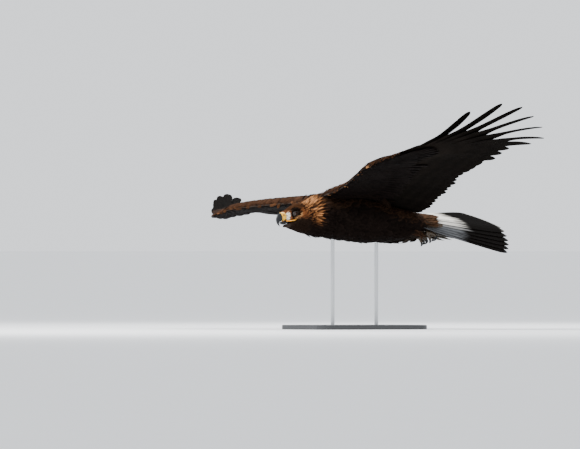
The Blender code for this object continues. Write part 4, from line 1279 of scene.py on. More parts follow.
class EAGLE_OT_skin(PieceOperator, bpy.types.Operator):
    """Builds the one skin of body, head, wings, legs and tail root that the coat grows from"""

    bl_idname = "eagle.skin"
    bl_label = "Skin"

    def execute(self, context):
        body, head, wing = sizes().body_coat, sizes().head_coat, sizes().wing_coat
        forms = [
            body_form("torso_form", TORSO_ROWS, 40, 40, body),
            body_form("neck_form", NECK_ROWS, 24, 36, body * 0.8),
        ]
        skull = body_form("head_form", HEAD_ROWS, 24, 32, head)
        skull.data.transform(HEAD)
        forms.append(skull)
        for _, side in SIDES:
            brow = (
                (side * 0.0150, -0.0200, 0.0085, 0.0024),
                (side * 0.0215, -0.0120, 0.0105, 0.0034),
                (side * 0.0262, -0.0020, 0.0118, 0.0036),
                (side * 0.0275, 0.0090, 0.0112, 0.0034),
                (side * 0.0275, 0.0180, 0.0090, 0.0024),
            )
            ridge = tube("brow", brow, 10, 0.0008)
            ridge.data.transform(HEAD)
            forms.append(ridge)
            forms.append(tube("leg_form", leg_path(side), 16, 0.0035))
        tail = body_form("tail_form", TAIL_ROWS, 16, 24, 0.005)
        tail.data.transform(TAIL)
        forms.append(tail)
        for label, sizes_of in WINGS.items():
            forms.append(wing_skin(label, sizes_of, wing))
        skin = join_forms("skin", forms, sizes().skin_voxel, 4)
        if len(skin.data.polygons) < FEWEST_SKIN_FACES:
            raise RuntimeError("the skin didn't join")
        settle(skin)
        finish_piece(
            skin, skin_material(), "body_plumage", "torso", "neck", "head", "leg_left", "leg_right",
            "wing_left_arm", "wing_left_hand", "wing_right_arm", "wing_right_hand", "tail",
        )
        return {"FINISHED"}


def skin_material():
    """Down over the skin: a dull dark brown felt that only shows deep between the feathers."""
    made, shader = new_material("down_over_skin")
    place = add_node(made, "ShaderNodeTexCoord")
    fluff = add_node(
        made, "ShaderNodeTexNoise", {"Scale": 1 / 0.004, "Detail": 5.0},
        {"Vector": place.outputs["Object"]},
    )
    tone = add_node(made, "ShaderNodeValToRGB", links={0: fluff.outputs[0]})
    set_stops(tone, (0.0, linear("#15100d")), (1.0, linear("#2f241c")))
    bump = add_node(
        made, "ShaderNodeBump", {"Strength": 0.5, "Distance": 0.001}, {"Height": fluff.outputs[0]},
    )
    wire(
        made, shader,
        {"Roughness": 0.9, "Specular IOR Level": 0.15},
        {"Base Color": tone.outputs[0], "Normal": bump.outputs[0]},
    )
    return made


def leg_path(side):
    """Stops along a leg, thigh to ankle: x, y, z and radius."""
    return (
        (side * 0.036, 0.130, -0.020, 0.016),
        (side * 0.040, 0.170, -0.032, 0.023),
        (side * 0.037, 0.215, -0.035, 0.020),
        (side * 0.032, 0.260, -0.035, 0.015),
        (side * 0.029, 0.298, -0.033, 0.010),
        (side * 0.028, 0.316, -0.030, 0.008),
    )


class EAGLE_OT_head_feathers(PieceOperator, bpy.types.Operator):
    """Lays the small feathers of face and crown"""

    bl_idname = "eagle.head_feathers"
    bl_label = "Head feathers"

    def execute(self, context):
        random = np.random.default_rng(sizes().seed)
        points, corners, middle, tree = skin_surface()
        head = in_head(middle)
        reach = head[:, 1]
        inside = (np.abs(head[:, 0]) < 0.06) & (np.abs(head[:, 2]) < 0.07) & (middle[:, 1] < -0.085)
        from_eye = np.hypot(head[:, 1], head[:, 2])
        open_eye = (from_eye < 0.0092) & (np.abs(head[:, 0]) > 0.010)
        bill = (reach < -0.0275) & (head[:, 2] < 0.0090)
        mouth = (reach < -0.022) & (head[:, 2] < -0.017)
        blocks = []
        bands = ((-0.040, 0.002, 1.0), (0.002, 0.020, 1.35), (0.020, 0.040, 1.75))
        for start, end, grow in bands:
            chosen = inside & ~open_eye & ~bill & ~mouth & (reach >= start) & (reach < end)
            roots, normals = scatter(points, corners, chosen, sizes().face_spacing * grow, random)
            d = in_head(roots)[:, 1]
            lengths = np.interp(d, (-0.03, -0.015, 0.0, 0.02, 0.04), (0.0050, 0.0062, 0.0085, 0.0135, 0.021))
            widths = np.interp(d, (-0.03, 0.0, 0.02, 0.04), (0.0028, 0.0042, 0.0058, 0.0070))
            lengths = lengths * (1 + 0.12 * random.normal(size=len(roots)))
            high = np.interp(d, (-0.03, 0.0, 0.04), (0.0012, 0.0020, 0.0040))
            blocks.append(
                coat_block(
                    tree, roots, normals, lengths, widths, LANCE_SHAPE, (np.full(len(roots), -0.0004), high),
                    SMALL, 5, random, wander=0.10, ridge=0.0004, edge_share=0.35, shaft=0.12,
                )
            )
        piece = block_mesh("head_feathers", blocks)
        finish_piece(piece, body_plumage(), "head_plumage")
        return {"FINISHED"}


class EAGLE_OT_hackles(PieceOperator, bpy.types.Operator):
    """Lays the golden hackles of nape and neck"""

    bl_idname = "eagle.hackles"
    bl_label = "Hackles"

    def execute(self, context):
        random = np.random.default_rng(sizes().seed + 1)
        points, corners, middle, tree = skin_surface()
        head = in_head(middle)
        chosen = (head[:, 1] >= 0.036) & (middle[:, 1] < -0.045) & (np.abs(middle[:, 0]) < 0.10)
        roots, normals = scatter(points, corners, chosen, sizes().neck_spacing, random)
        top = smooth(-0.045, 0.0, roots[:, 2])
        lengths = (0.030 + 0.008 * top) * (1 + 0.14 * random.normal(size=len(roots)))
        widths = 0.0088 - 0.0018 * top
        low = np.full(len(roots), -0.001)
        high = 0.0070 + 0.0015 * random.normal(size=len(roots))
        block = coat_block(
            tree, roots, normals, lengths, widths, LANCE_SHAPE, (low, high), PLAIN, 7, random,
            wander=0.12, tip_from=0.20, edge_share=0.8, shaft=0.0,
        )
        piece = block_mesh("hackles", [block])
        finish_piece(piece, body_plumage(), "nape_plumage")
        return {"FINISHED"}


class EAGLE_OT_body_feathers(PieceOperator, bpy.types.Operator):
    """Lays the feathers of back, shoulders, breast, belly and flanks"""

    bl_idname = "eagle.body_feathers"
    bl_label = "Body feathers"

    def execute(self, context):
        random = np.random.default_rng(sizes().seed + 2)
        points, corners, middle, tree = skin_surface()
        normal = np.cross(
            points[corners[:, 1]] - points[corners[:, 0]], points[corners[:, 2]] - points[corners[:, 0]],
        )
        faces_up = normal[:, 2] > 0
        on_leg = (np.abs(middle[:, 0]) > 0.012) & (middle[:, 1] > 0.215) & (middle[:, 2] < -0.028) & (
            middle[:, 1] < 0.33
        )
        chosen = (middle[:, 1] >= -0.052) & (np.abs(middle[:, 0]) < 0.090) & (middle[:, 1] < 0.335) & ~on_leg
        for name, side in (("back_feathers", faces_up), ("breast_feathers", ~faces_up)):
            roots, normals = scatter(points, corners, chosen & side, sizes().body_spacing, random)
            y = roots[:, 1]
            shoulder = smooth(0.035, 0.07, np.abs(roots[:, 0])) * smooth(0.20, 0.10, y)
            shoulder = shoulder * smooth(0.0, 0.04, roots[:, 2])
            stops = (-0.05, 0.05, 0.30)
            lengths = np.interp(y, stops, (0.034, 0.042, 0.048)) + 0.022 * shoulder
            lengths = lengths * (1 + 0.10 * random.normal(size=len(roots)))
            widths = np.interp(y, stops, (0.017, 0.023, 0.022)) + 0.006 * shoulder
            block = coat_block(
                tree, roots, normals, lengths, widths, ROUND_SHAPE,
                (np.full(len(roots), -0.001), 0.0075 + 0.001 * random.normal(size=len(roots))),
                PLAIN, 8, random, wander=0.07, edge_share=0.6, shaft=0.25,
            )
            piece = block_mesh(name, [block])
            finish_piece(piece, body_plumage(), "body_plumage")
        return {"FINISHED"}


class EAGLE_OT_leg_feathers(PieceOperator, bpy.types.Operator):
    """Lays the loose feathers of thighs and tarsi"""

    bl_idname = "eagle.leg_feathers"
    bl_label = "Leg feathers"

    def execute(self, context):
        random = np.random.default_rng(sizes().seed + 3)
        points, corners, middle, tree = skin_surface()
        chosen = (np.abs(middle[:, 0]) < 0.07) & (middle[:, 1] > 0.14) & (middle[:, 1] < 0.335) & (
            middle[:, 2] < -0.018
        )
        roots, normals = scatter(points, corners, chosen, LEG_SPACING, random)
        y = roots[:, 1]
        share = smooth(0.20, 0.27, y)
        base = mix(tint("breast") * 1.2, tint("tarsus"), share)
        light = 1 + 0.15 * random.normal(size=(len(roots), 1)).clip(-2, 2)
        colour = (base * light * 0.8, base * light, base * light * 1.2)
        stops = (0.14, 0.22, 0.33)
        lengths = np.interp(y, stops, (0.036, 0.026, 0.014)) * (1 + 0.12 * random.normal(size=len(y)))
        widths = np.interp(y, stops, (0.014, 0.010, 0.006))
        high = np.interp(y, stops, (0.006, 0.0048, 0.0028))
        flows = unit(np.array([0.0, 1.0, -0.10]) + 0.14 * random.normal(size=roots.shape))
        block = coat_block(
            tree, roots, normals, lengths, widths, LANCE_SHAPE, (np.full(len(y), -0.0008), high),
            SMALL, 6, random, flows=flows, colour=colour, edge_share=0.4,
        )
        piece = block_mesh("leg_feathers", [block])
        finish_piece(piece, body_plumage(), "leg_plumage")
        return {"FINISHED"}


class EAGLE_OT_wings(PieceOperator, bpy.types.Operator):
    """Builds flight feathers, coverts and alula of both wings"""

    bl_idname = "eagle.wings"
    bl_label = "Wings"

    def execute(self, context):
        for number, (label, wing) in enumerate(WINGS.items()):
            random = np.random.default_rng(sizes().seed + 10 + number)
            flight = block_mesh(f"wing_{label}_flight_feathers", flight_blocks(wing, random))
            finish_piece(flight, flight_plumage(), "wing_plumage")
            upper = block_mesh(
                f"wing_{label}_upper_coverts", [*covert_tiers(wing, 1, random), alula_block(wing, random)]
            )
            finish_piece(upper, body_plumage(), "wing_plumage")
            under = block_mesh(f"wing_{label}_under_coverts", covert_tiers(wing, -1, random))
            finish_piece(under, body_plumage(), "wing_plumage")
            front = block_mesh(f"wing_{label}_marginal_coverts", [marginal_coverts(wing, random)])
            finish_piece(front, body_plumage(), "wing_plumage")
        return {"FINISHED"}


def lay_on_tail(places, lengths, widths, shape, lift, face, columns, rows, ridge=0.0007, order=0.015):
    """Points of tail feathers at places from -1 at the fan's right edge to 1 at its left edge."""
    along = rows_along(rows)
    across, height = section(*columns, ridge, VANE_THICKNESS)
    angle = places[:, None, None] * TAIL_SPREAD
    table = eased(shape, along)
    reach = np.where(across[None, :] > 0, table[:, :1], table[:, 1:2]) * across[None, :]
    spread = reach[None] * widths[:, None, None]
    far = along[None, :, None] * lengths[:, None, None]
    x = places[:, None, None] * 0.021 + np.sin(angle) * far + np.cos(angle) * spread
    y = 0.006 + np.cos(angle) * far - np.sin(angle) * spread
    stack = order * (1 - np.abs(places))[:, None, None] * np.minimum(far / 0.07, 1.0)
    z = lift[:, None, None] + stack - TAIL_ARCH * np.abs(x) + height[None, None, :] * face
    points = moved(TAIL, np.stack(np.broadcast_arrays(x, y, z), -1))
    return {"points": points, "across": across, "along": along, "flip": face < 0}


class EAGLE_OT_tail(PieceOperator, bpy.types.Operator):
    """Builds the fan of twelve tail feathers with the coverts over and under its root"""

    bl_idname = "eagle.tail"
    bl_label = "Tail"

    def execute(self, context):
        random = np.random.default_rng(sizes().seed + 20)
        places = np.linspace(-1, 1, TAIL_FEATHERS)
        lengths = TAIL_LENGTH * (1 - 0.055 * places**2)
        block = lay_on_tail(
            places, lengths, np.full(TAIL_FEATHERS, 0.050), BROAD_SHAPE, np.zeros(TAIL_FEATHERS), 1,
            FINE, LONG_ROWS,
        )
        along, across = block["along"], block["across"]
        shape = block["points"].shape[:3]
        # painted shadow: the lower, nearer half of the fan is painted blue-grey over its white base, as the
        # shade the wing casts on it
        painted_wing_shadow = 0.92 * smooth(-0.20, 0.40, places)
        white = mix(
            np.broadcast_to(tint("tail_white"), (TAIL_FEATHERS, 3)), np.array(linear("#2c323b")), painted_wing_shadow,
        )
        white = np.broadcast_to(white[:, None, None, :], (*shape, 3))
        start = 0.47 + 0.02 * random.normal(size=(TAIL_FEATHERS, 1, 1))
        phase = random.uniform(0, 6, (TAIL_FEATHERS, 1, 1))
        ragged = 0.05 * np.sin(np.abs(across)[None, None, :] * 9 + phase)
        band = smooth(0.0, 0.10, along[None, :, None] - start - ragged)
        streak = 0.85 * np.exp(-((across[None, None, :] / 0.08) ** 2))
        streak = streak * smooth(0.05, 0.3, along)[None, :, None]
        dark = np.maximum(band, streak)
        tip = smooth(0.955, 0.995, along)[None, :, None] * 0.35
        colour = mix(white, np.broadcast_to(tint("tail_band"), white.shape), np.broadcast_to(dark, shape))
        colour = mix(colour, white * 0.6, np.broadcast_to(tip, shape))
        block["paint"] = colour
        block["bake"], block["strip"] = strip_bake(TAIL_FEATHERS, 0.02, 0.96, 0.02, 0.94)
        fan = block_mesh("tail_feathers", [block])
        finish_piece(fan, flight_plumage(), "tail_plumage")

        blocks = []
        for face, tiers in TAIL_COVERTS:
            for length, width, count, lift in tiers:
                place = np.linspace(-0.86, 0.86, count) + 0.03 * random.normal(size=count)
                lengths = length * (1 + 0.07 * random.normal(size=count)) - 0.02 * np.abs(place)
                tier = lay_on_tail(
                    place, lengths, np.full(count, width), ROUND_SHAPE if face > 0 else LANCE_SHAPE,
                    np.full(count, lift), face, PLAIN, 12,
                )
                base = tint("rump") if face > 0 else tint("vent")
                base = varied(base, count, random, 0.14)
                pale = base * 1.25 if face > 0 else varied(tint("tail_white"), count, random, 0.06)
                tier["paint"] = painted(base, base, pale, tier["along"], tier["across"], 0.4, 0.6, 0.3)
                tier["bake"] = np.stack(
                    [0.5 + place * 0.4, np.full(count, 0.2 if face > 0 else 0.7) + length], -1,
                )
                blocks.append(tier)
        coverts = block_mesh("tail_coverts", blocks)
        finish_piece(coverts, body_plumage(), "tail_plumage")
        return {"FINISHED"}


# Head furniture


def bill_form(name, sections, count, sides):
    """A form of upright sections of the bill, narrower above than below."""
    steps = np.arange(len(sections))
    rows = eased(np.column_stack([steps, sections]), np.linspace(0, len(sections) - 1, count))
    angle = np.arange(sides) / sides * 2 * np.pi
    lean = np.sin(angle)
    narrow = 1.0 - 0.16 * np.maximum(lean, 0.0) + 0.10 * np.maximum(-lean, 0.0)
    rings = []
    for top_y, top_z, low_y, low_z, half in rows:
        y = (top_y + low_y) / 2 + (top_y - low_y) / 2 * lean
        z = (top_z + low_z) / 2 + (top_z - low_z) / 2 * lean
        rings.append(np.stack([half * np.cos(angle) * narrow, y, z], -1))
    return ring_form(name, np.array(rings))


def gape_path(side):
    """The flange of the mouth's corner, from the cere back under the eye."""
    return (
        (side * 0.0088, -0.0300, -0.0180, 0.0016),
        (side * 0.0125, -0.0220, -0.0192, 0.0017),
        (side * 0.0172, -0.0110, -0.0203, 0.0017),
        (side * 0.0215, -0.0010, -0.0208, 0.0015),
        (side * 0.0238, 0.0050, -0.0206, 0.0011),
    )


def horn_material(name, base, tip, start, end, axis_matrix):
    """Horn of bill and claws: grown in layers and worn smooth, so it shines softly; darker to the tip."""
    made, shader = new_material(name)
    place = add_node(made, "ShaderNodeTexCoord")
    location, rotation, _ = axis_matrix.inverted().decompose()
    turn = add_node(
        made, "ShaderNodeMapping", {"Location": location, "Rotation": rotation.to_euler()},
        {0: place.outputs["Object"]}, vector_type="POINT",
    )
    split = add_node(made, "ShaderNodeSeparateXYZ", links={0: turn.outputs[0]})
    # Growth bands about 3.5 mm across: the real lines, under 1 mm apart, are too fine to show
    layers = add_node(
        made, "ShaderNodeTexNoise", {"Scale": 1 / 0.0035, "Detail": 4.0, "Distortion": 0.6},
        {"Vector": turn.outputs[0]},
    )
    run = add_node(made, "ShaderNodeMapRange", {1: start, 2: end}, {0: split.outputs[1]})
    mixed = add_node(
        made, "ShaderNodeMath", {1: 0.30}, {0: layers.outputs[0], 2: run.outputs[0]}, operation="MULTIPLY_ADD"
    )
    ramp = add_node(made, "ShaderNodeValToRGB", links={0: mixed.outputs[0]})
    set_stops(ramp, (0.15, base), (0.85, tip))
    bump = add_node(
        made, "ShaderNodeBump", {"Strength": 0.15, "Distance": 0.0003}, {"Height": layers.outputs[0]},
    )
    wire(
        made, shader,
        {"Roughness": 0.45, "IOR": 1.55, "Coat Weight": 0.05, "Coat Roughness": 0.2,
         "Specular IOR Level": 0.2},
        {"Base Color": ramp.outputs[0], "Normal": bump.outputs[0]},
    )
    return made


def cere_material(name, main, flush, roughness):
    """Waxy bare skin: soft pores and wrinkles about a millimetre apart, with a warmer flush."""
    made, shader = new_material(name)
    place = add_node(made, "ShaderNodeTexCoord")
    flow = add_node(
        made, "ShaderNodeTexNoise", {"Scale": 1 / 0.006, "Detail": 3.0},
        {"Vector": place.outputs["Object"]},
    )
    pores = add_node(made, "ShaderNodeTexVoronoi", {"Scale": 1 / 0.0011}, {"Vector": place.outputs["Object"]})
    ramp = add_node(made, "ShaderNodeValToRGB", links={0: flow.outputs[0]})
    set_stops(ramp, (0.35, main), (0.75, flush))
    bump = add_node(
        made, "ShaderNodeBump", {"Strength": 0.25, "Distance": 0.0003}, {"Height": pores.outputs[0]},
    )
    wire(
        made, shader,
        {"Roughness": roughness, "IOR": 1.44, "Subsurface Weight": 0.15,
         "Subsurface Radius": (0.004, 0.002, 0.001), "Subsurface Scale": 0.5},
        {"Base Color": ramp.outputs[0], "Normal": bump.outputs[0]},
    )
    return made


class EAGLE_OT_bill(PieceOperator, bpy.types.Operator):
    """Builds the hooked bill, the cere with its nostrils and the corners of the mouth"""

    bl_idname = "eagle.bill"
    bl_label = "Bill"

    def execute(self, context):
        set_on = BIRD @ HEAD
        horn = horn_material("bill_horn", tint("horn_base"), tint("horn_tip"), -0.045, -0.062, set_on)
        upper = bill_form("bill_horn_upper", HORN_SECTIONS, 30, 32)
        self.close(upper, set_on)
        finish_piece(upper, horn, "horn", "bill_upper")
        lower = bill_form("bill_horn_lower", LOWER_BILL_SECTIONS, 20, 28)
        self.close(lower, set_on)
        finish_piece(lower, horn, "horn", "bill_lower")
        cere = bill_form("cere_skin", CERE_SECTIONS, 18, 36)
        for _, side in SIDES:
            self.nostril(cere, side)
        self.close(cere, set_on)
        wax = cere_material("cere_waxy_skin", tint("cere"), tint("cere"), 0.38)
        finish_piece(cere, wax, "cere", "cere")
        flush = cere_material("gape_skin", tint("gape"), tint("cere"), 0.42)
        for label, side in SIDES:
            flange = tube(f"gape_{label}", gape_path(side), 12, -0.0003, smoothly=20)
            self.close(flange, set_on)
            finish_piece(flange, flush, "cere")
        return {"FINISHED"}

    def close(self, piece, set_on):
        """Rounds the ends of a form, smooths it and sets it on the head."""
        make_active(piece)
        soften = piece.modifiers.new("rounded ends", "BEVEL")
        soften.width = 0.0006
        soften.segments = 2
        soften.limit_method = "ANGLE"
        soften.angle_limit = HORN_CREASE
        apply_all(piece)
        bpy.ops.object.shade_smooth_by_angle(angle=HORN_CREASE)
        settle(piece, set_on)

    def nostril(self, cere, side):
        """Cuts a slanting nostril into the cere and lines it with dark orange-brown skin, darkened as painted
        shade deep in the hole.
        """
        deselect_all()
        bpy.ops.mesh.primitive_uv_sphere_add(
            segments=16, ring_count=10, radius=1.0, location=(side * 0.0112, -0.0372, 0.0022),
            rotation=(math.radians(-28), 0.0, 0.0), scale=(0.0026, 0.0021, 0.0038),
        )
        hole = bpy.context.object
        cut = cere.modifiers.new("nostril", "BOOLEAN")
        cut.operation = "DIFFERENCE"
        cut.object = hole
        cut.solver = "EXACT"
        apply_all(cere)
        label = "left" if side > 0 else "right"
        hole.name = hole.data.name = f"nostril_{label}_lining"
        hole.scale *= 0.92
        hole.location.x -= side * 0.0003
        bpy.context.view_layer.update()
        bpy.ops.object.shade_smooth()
        settle(hole, BIRD @ HEAD)
        # painted shade: the lining's dark colour stands for the shade inside the nostril
        dark = cere_material(f"nostril_skin_{label}", linear("#3a1804"), linear("#a85a14"), 0.6)
        finish_piece(hole, dark, "cere")


class EAGLE_OT_eyes(PieceOperator, bpy.types.Operator):
    """Builds both eyes with iris and pupil, and the lids round them"""

    bl_idname = "eagle.eyes"
    bl_label = "Eyes"

    def execute(self, context):
        for label, side in SIDES:
            gaze = Vector((side * 0.90, -0.42, -0.04)).normalized()
            deselect_all()
            bpy.ops.mesh.primitive_uv_sphere_add(segments=48, ring_count=32, radius=EYE_RADIUS)
            eye = bpy.context.object
            eye.name = eye.data.name = f"eyeball_{label}"
            for vertex in eye.data.vertices:
                bulge = smooth(math.cos(CORNEA_EDGE), 1.0, vertex.co.normalized().z)
                vertex.co *= 1 + CORNEA_BULGE * float(bulge)
            angles = [math.acos(max(-1, min(1, v.co.normalized().z))) for v in eye.data.vertices]
            ring = eye.data.attributes.new("from_gaze", "FLOAT", "POINT")
            ring.data.foreach_set("value", angles)
            turn = Vector((0.0, 0.0, 1.0)).rotation_difference(gaze).to_matrix().to_4x4()
            eye.data.transform(Matrix.Translation((side * EYE_X, 0.0, 0.0)) @ turn)
            bpy.ops.object.shade_smooth()
            settle(eye, BIRD @ HEAD)
            finish_piece(eye, eye_material(), "eye", f"eye_{label}")
            lids = self.lids(label, side)
            settle(lids, BIRD @ HEAD)
            finish_piece(lids, lid_material(), "head_plumage")
        return {"FINISHED"}

    def lids(self, label, side):
        """A soft rim round the eye, flatter above under the brow."""
        deselect_all()
        bpy.ops.mesh.primitive_torus_add(
            major_segments=40, minor_segments=12, major_radius=LID_RADIUS, minor_radius=LID_THICKNESS,
            rotation=(0.0, math.radians(90.0), 0.0),
        )
        rim = bpy.context.object
        rim.name = rim.data.name = f"eyelids_{label}"
        settle(rim, Matrix.Identity(4))
        for vertex in rim.data.vertices:
            if vertex.co.z > 0:
                vertex.co.z *= 0.80
            distance = math.hypot(vertex.co.y, vertex.co.z)
            bulge = math.sqrt(max(EYE_RADIUS**2 - distance**2, 0.0)) + 0.0002
            vertex.co.x = side * (EYE_X + bulge + vertex.co.x * 0.8)
        bpy.ops.object.shade_smooth()
        return rim


def eye_material():
    """A wet living eye: black pupil, brown iris with darker spokes and rim, and a clear shining cornea."""
    if "eye_cornea_and_iris" in bpy.data.materials:
        return bpy.data.materials["eye_cornea_and_iris"]
    made, shader = new_material("eye_cornea_and_iris")
    angle = add_node(made, "ShaderNodeAttribute", attribute_name="from_gaze")
    place = add_node(made, "ShaderNodeTexCoord")
    spokes = add_node(
        made, "ShaderNodeTexNoise", {"Scale": 1 / 0.0009, "Detail": 2.0},
        {"Vector": place.outputs["Object"]},
    )
    wobble = add_node(
        made, "ShaderNodeMath", {1: 0.05}, {0: spokes.outputs[0], 2: angle.outputs["Fac"]},
        operation="MULTIPLY_ADD",
    )
    ramp = add_node(made, "ShaderNodeValToRGB", links={0: wobble.outputs[0]})
    iris = tint("iris")
    pupil, rim = (0.002, 0.002, 0.002), (0.006, 0.004, 0.003)
    set_stops(
        ramp, (0.0, pupil), (0.235, pupil), (0.25, iris * 0.7), (0.42, iris * 1.5), (0.56, iris * 0.8),
        (0.60, rim),
    )
    wire(
        made, shader,
        {"Roughness": 0.06, "IOR": 1.38, "Specular IOR Level": 0.3, "Coat Weight": 0.6,
         "Coat Roughness": 0.02},
        {"Base Color": ramp.outputs[0]},
    )
    return made


def lid_material():
    """Bare dark brown skin of the lids, finely wrinkled."""
    if "eyelid_skin" in bpy.data.materials:
        return bpy.data.materials["eyelid_skin"]
    return cere_material("eyelid_skin", linear("#15100c"), linear("#2a1f17"), 0.55)


def toe_paths(side, toe):
    """Stops along a clenched toe and on along its claw: x, y, z and radius."""
    spread, reach, drop = TOES[toe]
    start = Vector((side * FOOT_X, 0.326, -0.023))
    curl = ((0.000, 0.000, 0.0062), (0.014, -0.001, 0.0058), (0.026, -0.005, 0.0054), (0.031, -0.011, 0.0046))
    talon = (
        (0.0300, -0.0090, 0.0038),
        (0.0330, -0.0165, 0.0033),
        (0.0300, -0.0225, 0.0024),
        (0.0235, -0.0260, 0.0005),
    )
    paths = []
    for stops in (curl, talon):
        path = []
        for out, down, radius in stops:
            x = start.x + side * spread * 0.5 * out
            path.append((x, start.y + reach * out, start.z + down * 0.9 - drop * out, radius))
        paths.append(path)
    return paths


def toe_material():
    """Yellow toe skin, darkened to a dark ochre as painted shade, in hard scales about 2 mm across, with
    darker creases between them.
    """
    made, shader = new_material("toe_scaled_skin")
    place = add_node(made, "ShaderNodeTexCoord")
    scales = add_node(
        made, "ShaderNodeTexVoronoi", {"Scale": 1 / 0.0022}, {"Vector": place.outputs["Object"]},
        feature="DISTANCE_TO_EDGE",
    )
    ramp = add_node(made, "ShaderNodeValToRGB", links={0: scales.outputs[0]})
    toe = tint("toe")
    set_stops(ramp, (0.0, toe * 0.35), (0.14, toe))
    bump = add_node(
        made, "ShaderNodeBump", {"Strength": 0.6, "Distance": 0.0005}, {"Height": scales.outputs[0]},
    )
    wire(made, shader, {"Roughness": 0.5}, {"Base Color": ramp.outputs[0], "Normal": bump.outputs[0]})
    return made


class EAGLE_OT_feet(PieceOperator, bpy.types.Operator):
    """Builds the clenched toes and their claws"""

    bl_idname = "eagle.feet"
    bl_label = "Feet"

    def execute(self, context):
        skin = toe_material()
        horn = horn_material("claw_horn", tint("horn_tip"), tint("horn_tip"), 0.3, 0.4, BIRD)
        for label, side in SIDES:
            deselect_all()
            bpy.ops.mesh.primitive_uv_sphere_add(
                segments=24, ring_count=16, radius=0.0088, location=(side * FOOT_X, 0.3285, -0.024)
            )
            ball = bpy.context.object
            settle(ball, Matrix.Identity(4))
            forms = [ball]
            for toe in TOES:
                curl, talon = toe_paths(side, toe)
                forms.append(tube("toe", curl, 16, smoothly=12))
                claw = tube(f"claw_{label}_{toe}_horn", talon, 16, smoothly=18)
                make_active(claw)
                bpy.ops.object.shade_smooth_by_angle(angle=HORN_CREASE)
                settle(claw)
                finish_piece(claw, horn, "horn", f"claw_{label}_{toe}")
            foot = join_forms(f"foot_{label}_skin", forms, 0.0008, 3)
            settle(foot)
            finish_piece(foot, skin, "toe_scale", f"foot_{label}")
        return {"FINISHED"}


class EAGLE_OT_stand(PieceOperator, bpy.types.Operator):
    """Gives the stand's base and rods their finish"""

    bl_idname = "eagle.stand"
    bl_label = "Stand"

    def execute(self, context):
        coat, shader = new_material("powder_coated_steel")
        # Powder coat: a fine orange peel about 1.5 mm across, drawn coarser than real, and a satin sheen
        place = add_node(coat, "ShaderNodeTexCoord")
        peel = add_node(
            coat, "ShaderNodeTexNoise", {"Scale": 1 / 0.0015, "Detail": 3.0},
            {"Vector": place.outputs["Object"]},
        )
        dust = add_node(
            coat, "ShaderNodeTexNoise", {"Scale": 1 / 0.06, "Detail": 4.0},
            {"Vector": place.outputs["Object"]},
        )
        ramp = add_node(coat, "ShaderNodeValToRGB", links={0: dust.outputs[0]})
        shade = tint("stand")
        set_stops(ramp, (0.0, shade * 0.85), (1.0, shade * 1.2))
        bump = add_node(
            coat, "ShaderNodeBump", {"Strength": 0.12, "Distance": 0.0003}, {"Height": peel.outputs[0]},
        )
        wire(coat, shader, {"Roughness": 0.45}, {"Base Color": ramp.outputs[0], "Normal": bump.outputs[0]})
        rod, shader = new_material("brushed_stainless_steel")
        # Drawn steel rod, brushed round, so it is grey and bright with a soft long highlight
        place = add_node(rod, "ShaderNodeTexCoord")
        brush = add_node(rod, "ShaderNodeMapping", {"Scale": (1.0, 1.0, 12.0)}, {0: place.outputs["Object"]})
        lines = add_node(
            rod, "ShaderNodeTexNoise", {"Scale": 1 / 0.004, "Detail": 4.0}, {"Vector": brush.outputs[0]},
        )
        rough = add_node(rod, "ShaderNodeMapRange", {3: 0.24, 4: 0.42}, {0: lines.outputs[0]})
        wire(
            rod, shader,
            {"Base Color": (*linear("#b9bbbd"), 1.0), "Metallic": 1.0},
            {"Roughness": rough.outputs[0]},
        )
        for name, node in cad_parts.items():
            if name.startswith("stand_"):
                node.data.materials.clear()
                node.data.materials.append(coat if name == "stand_base" else rod)
        return {"FINISHED"}


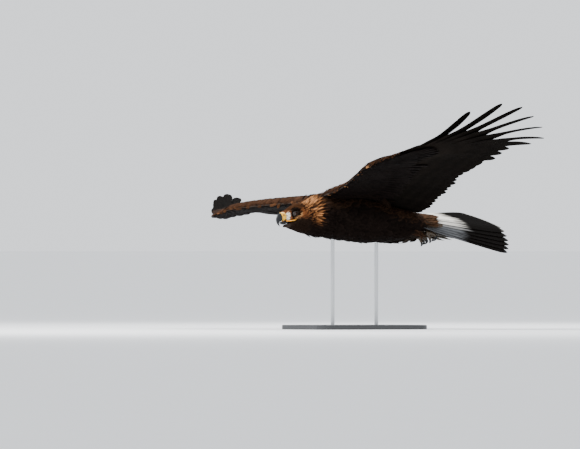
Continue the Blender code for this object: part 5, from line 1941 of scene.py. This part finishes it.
class EAGLE_OT_stage(PieceOperator, bpy.types.Operator):
    """Sets the plain floor, the soft lights and the camera"""

    bl_idname = "eagle.stage"
    bl_label = "Stage"

    def execute(self, context):
        deselect_all()
        bpy.ops.mesh.primitive_circle_add(
            vertices=64, radius=FLOOR_RADIUS, fill_type="NGON", location=(0.0, 0.0, -FLOOR_GAP),
        )
        floor = bpy.context.object
        floor.name = "floor"
        # Matt paint with a cloudiness about 0.17 m across, so the floor isn't one flat tone
        paper, shader = new_material("matt_floor_paint")
        place = add_node(paper, "ShaderNodeTexCoord")
        grain = add_node(
            paper, "ShaderNodeTexNoise", {"Scale": 6.0, "Detail": 4.0},
            {"Vector": place.outputs["Object"]},
        )
        shade = add_node(paper, "ShaderNodeValToRGB", links={0: grain.outputs[0]})
        tone = tint("floor")
        set_stops(shade, (0.0, tone * 0.98), (1.0, np.minimum(tone * 1.02, 1.0)))
        wire(paper, shader, {"Roughness": 0.9}, {"Base Color": shade.outputs[0]})
        floor.data.materials.append(paper)

        right = Vector((math.cos(CAMERA_AZIMUTH), math.sin(CAMERA_AZIMUTH), 0.0))
        back = Vector((math.sin(CAMERA_AZIMUTH), -math.cos(CAMERA_AZIMUTH), 0.0))
        up = Vector((0.0, 0.0, 1.0))
        lens_px = PIXELS_PER_METRE * CAMERA_DISTANCE
        off_right = (ORIGIN_PIXEL[0] - PICTURE[0] / 2) / PIXELS_PER_METRE
        off_up = (PICTURE[1] / 2 - ORIGIN_PIXEL[1]) / PIXELS_PER_METRE
        aim = BIRD_PLACE - right * off_right - up * off_up
        deselect_all()
        bpy.ops.object.camera_add(location=aim + back * CAMERA_DISTANCE)
        camera = bpy.context.object
        camera.name = "camera"
        camera.rotation_mode = "QUATERNION"
        camera.rotation_quaternion = (-back).to_track_quat("-Z", "Y")
        camera.data.sensor_width = SENSOR_MM
        camera.data.lens = lens_px * SENSOR_MM / PICTURE[0]
        camera.data.clip_end = CAMERA_REACH
        context.scene.camera = camera

        lights = (
            ("key", -right * 2.2 + back * 1.5 + up * 2.6, 1.2, 230.0),
            ("fill", right * 2.6 + back * 2.6 + up * 1.2, 3.0, 18.0),
            ("rim", -back * 2.4 + up * 2.4 + right * 0.6, 2.2, 90.0),
        )
        for name, offset, wide, power in lights:
            place = BIRD_PLACE + offset
            deselect_all()
            bpy.ops.object.light_add(type="AREA", location=place)
            lamp = bpy.context.object
            lamp.name = name
            lamp.data.shape = "DISK"
            lamp.data.size = wide
            lamp.data.energy = power
            lamp.rotation_mode = "QUATERNION"
            lamp.rotation_quaternion = (BIRD_PLACE - place).to_track_quat("-Z", "Y")
        world = bpy.data.worlds.new("studio")
        world.use_nodes = True
        sky = world.node_tree.nodes["Background"]
        wire(world, sky, {"Color": (*linear("#eef1f5"), 1.0), "Strength": 1.5})
        context.scene.world = world
        return {"FINISHED"}


class EAGLE_PT_panel(bpy.types.Panel):
    """Lists the eagle's pieces in the order they are built"""

    bl_label = "Golden eagle"
    bl_idname = "EAGLE_PT_panel"
    bl_space_type = "VIEW_3D"
    bl_region_type = "UI"
    bl_category = "Eagle"

    def draw(self, context):
        for operator in OPERATORS:
            self.layout.operator(operator.bl_idname)
        for group in (context.scene.eagle_sizes, context.scene.eagle_colours):
            box = self.layout.box()
            for name in group.bl_rna.properties.keys():
                if name not in ("rna_type", "name"):
                    box.prop(group, name)


OPERATORS = (
    EAGLE_OT_skin,
    EAGLE_OT_head_feathers,
    EAGLE_OT_hackles,
    EAGLE_OT_body_feathers,
    EAGLE_OT_leg_feathers,
    EAGLE_OT_wings,
    EAGLE_OT_tail,
    EAGLE_OT_bill,
    EAGLE_OT_eyes,
    EAGLE_OT_feet,
    EAGLE_OT_stand,
    EAGLE_OT_stage,
)
CLASSES = (EagleColours, EagleSizes, *OPERATORS, EAGLE_PT_panel)


def register():
    for made in CLASSES:
        bpy.utils.register_class(made)
    bpy.types.Scene.eagle_colours = PointerProperty(type=EagleColours)
    bpy.types.Scene.eagle_sizes = PointerProperty(type=EagleSizes)


def unregister():
    del bpy.types.Scene.eagle_sizes
    del bpy.types.Scene.eagle_colours
    for made in reversed(CLASSES):
        bpy.utils.unregister_class(made)


def main():
    register()
    for operator in OPERATORS:
        group, name = operator.bl_idname.split(".")
        getattr(getattr(bpy.ops, group), name)()
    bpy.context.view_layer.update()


if __name__ == "__main__":
    main()
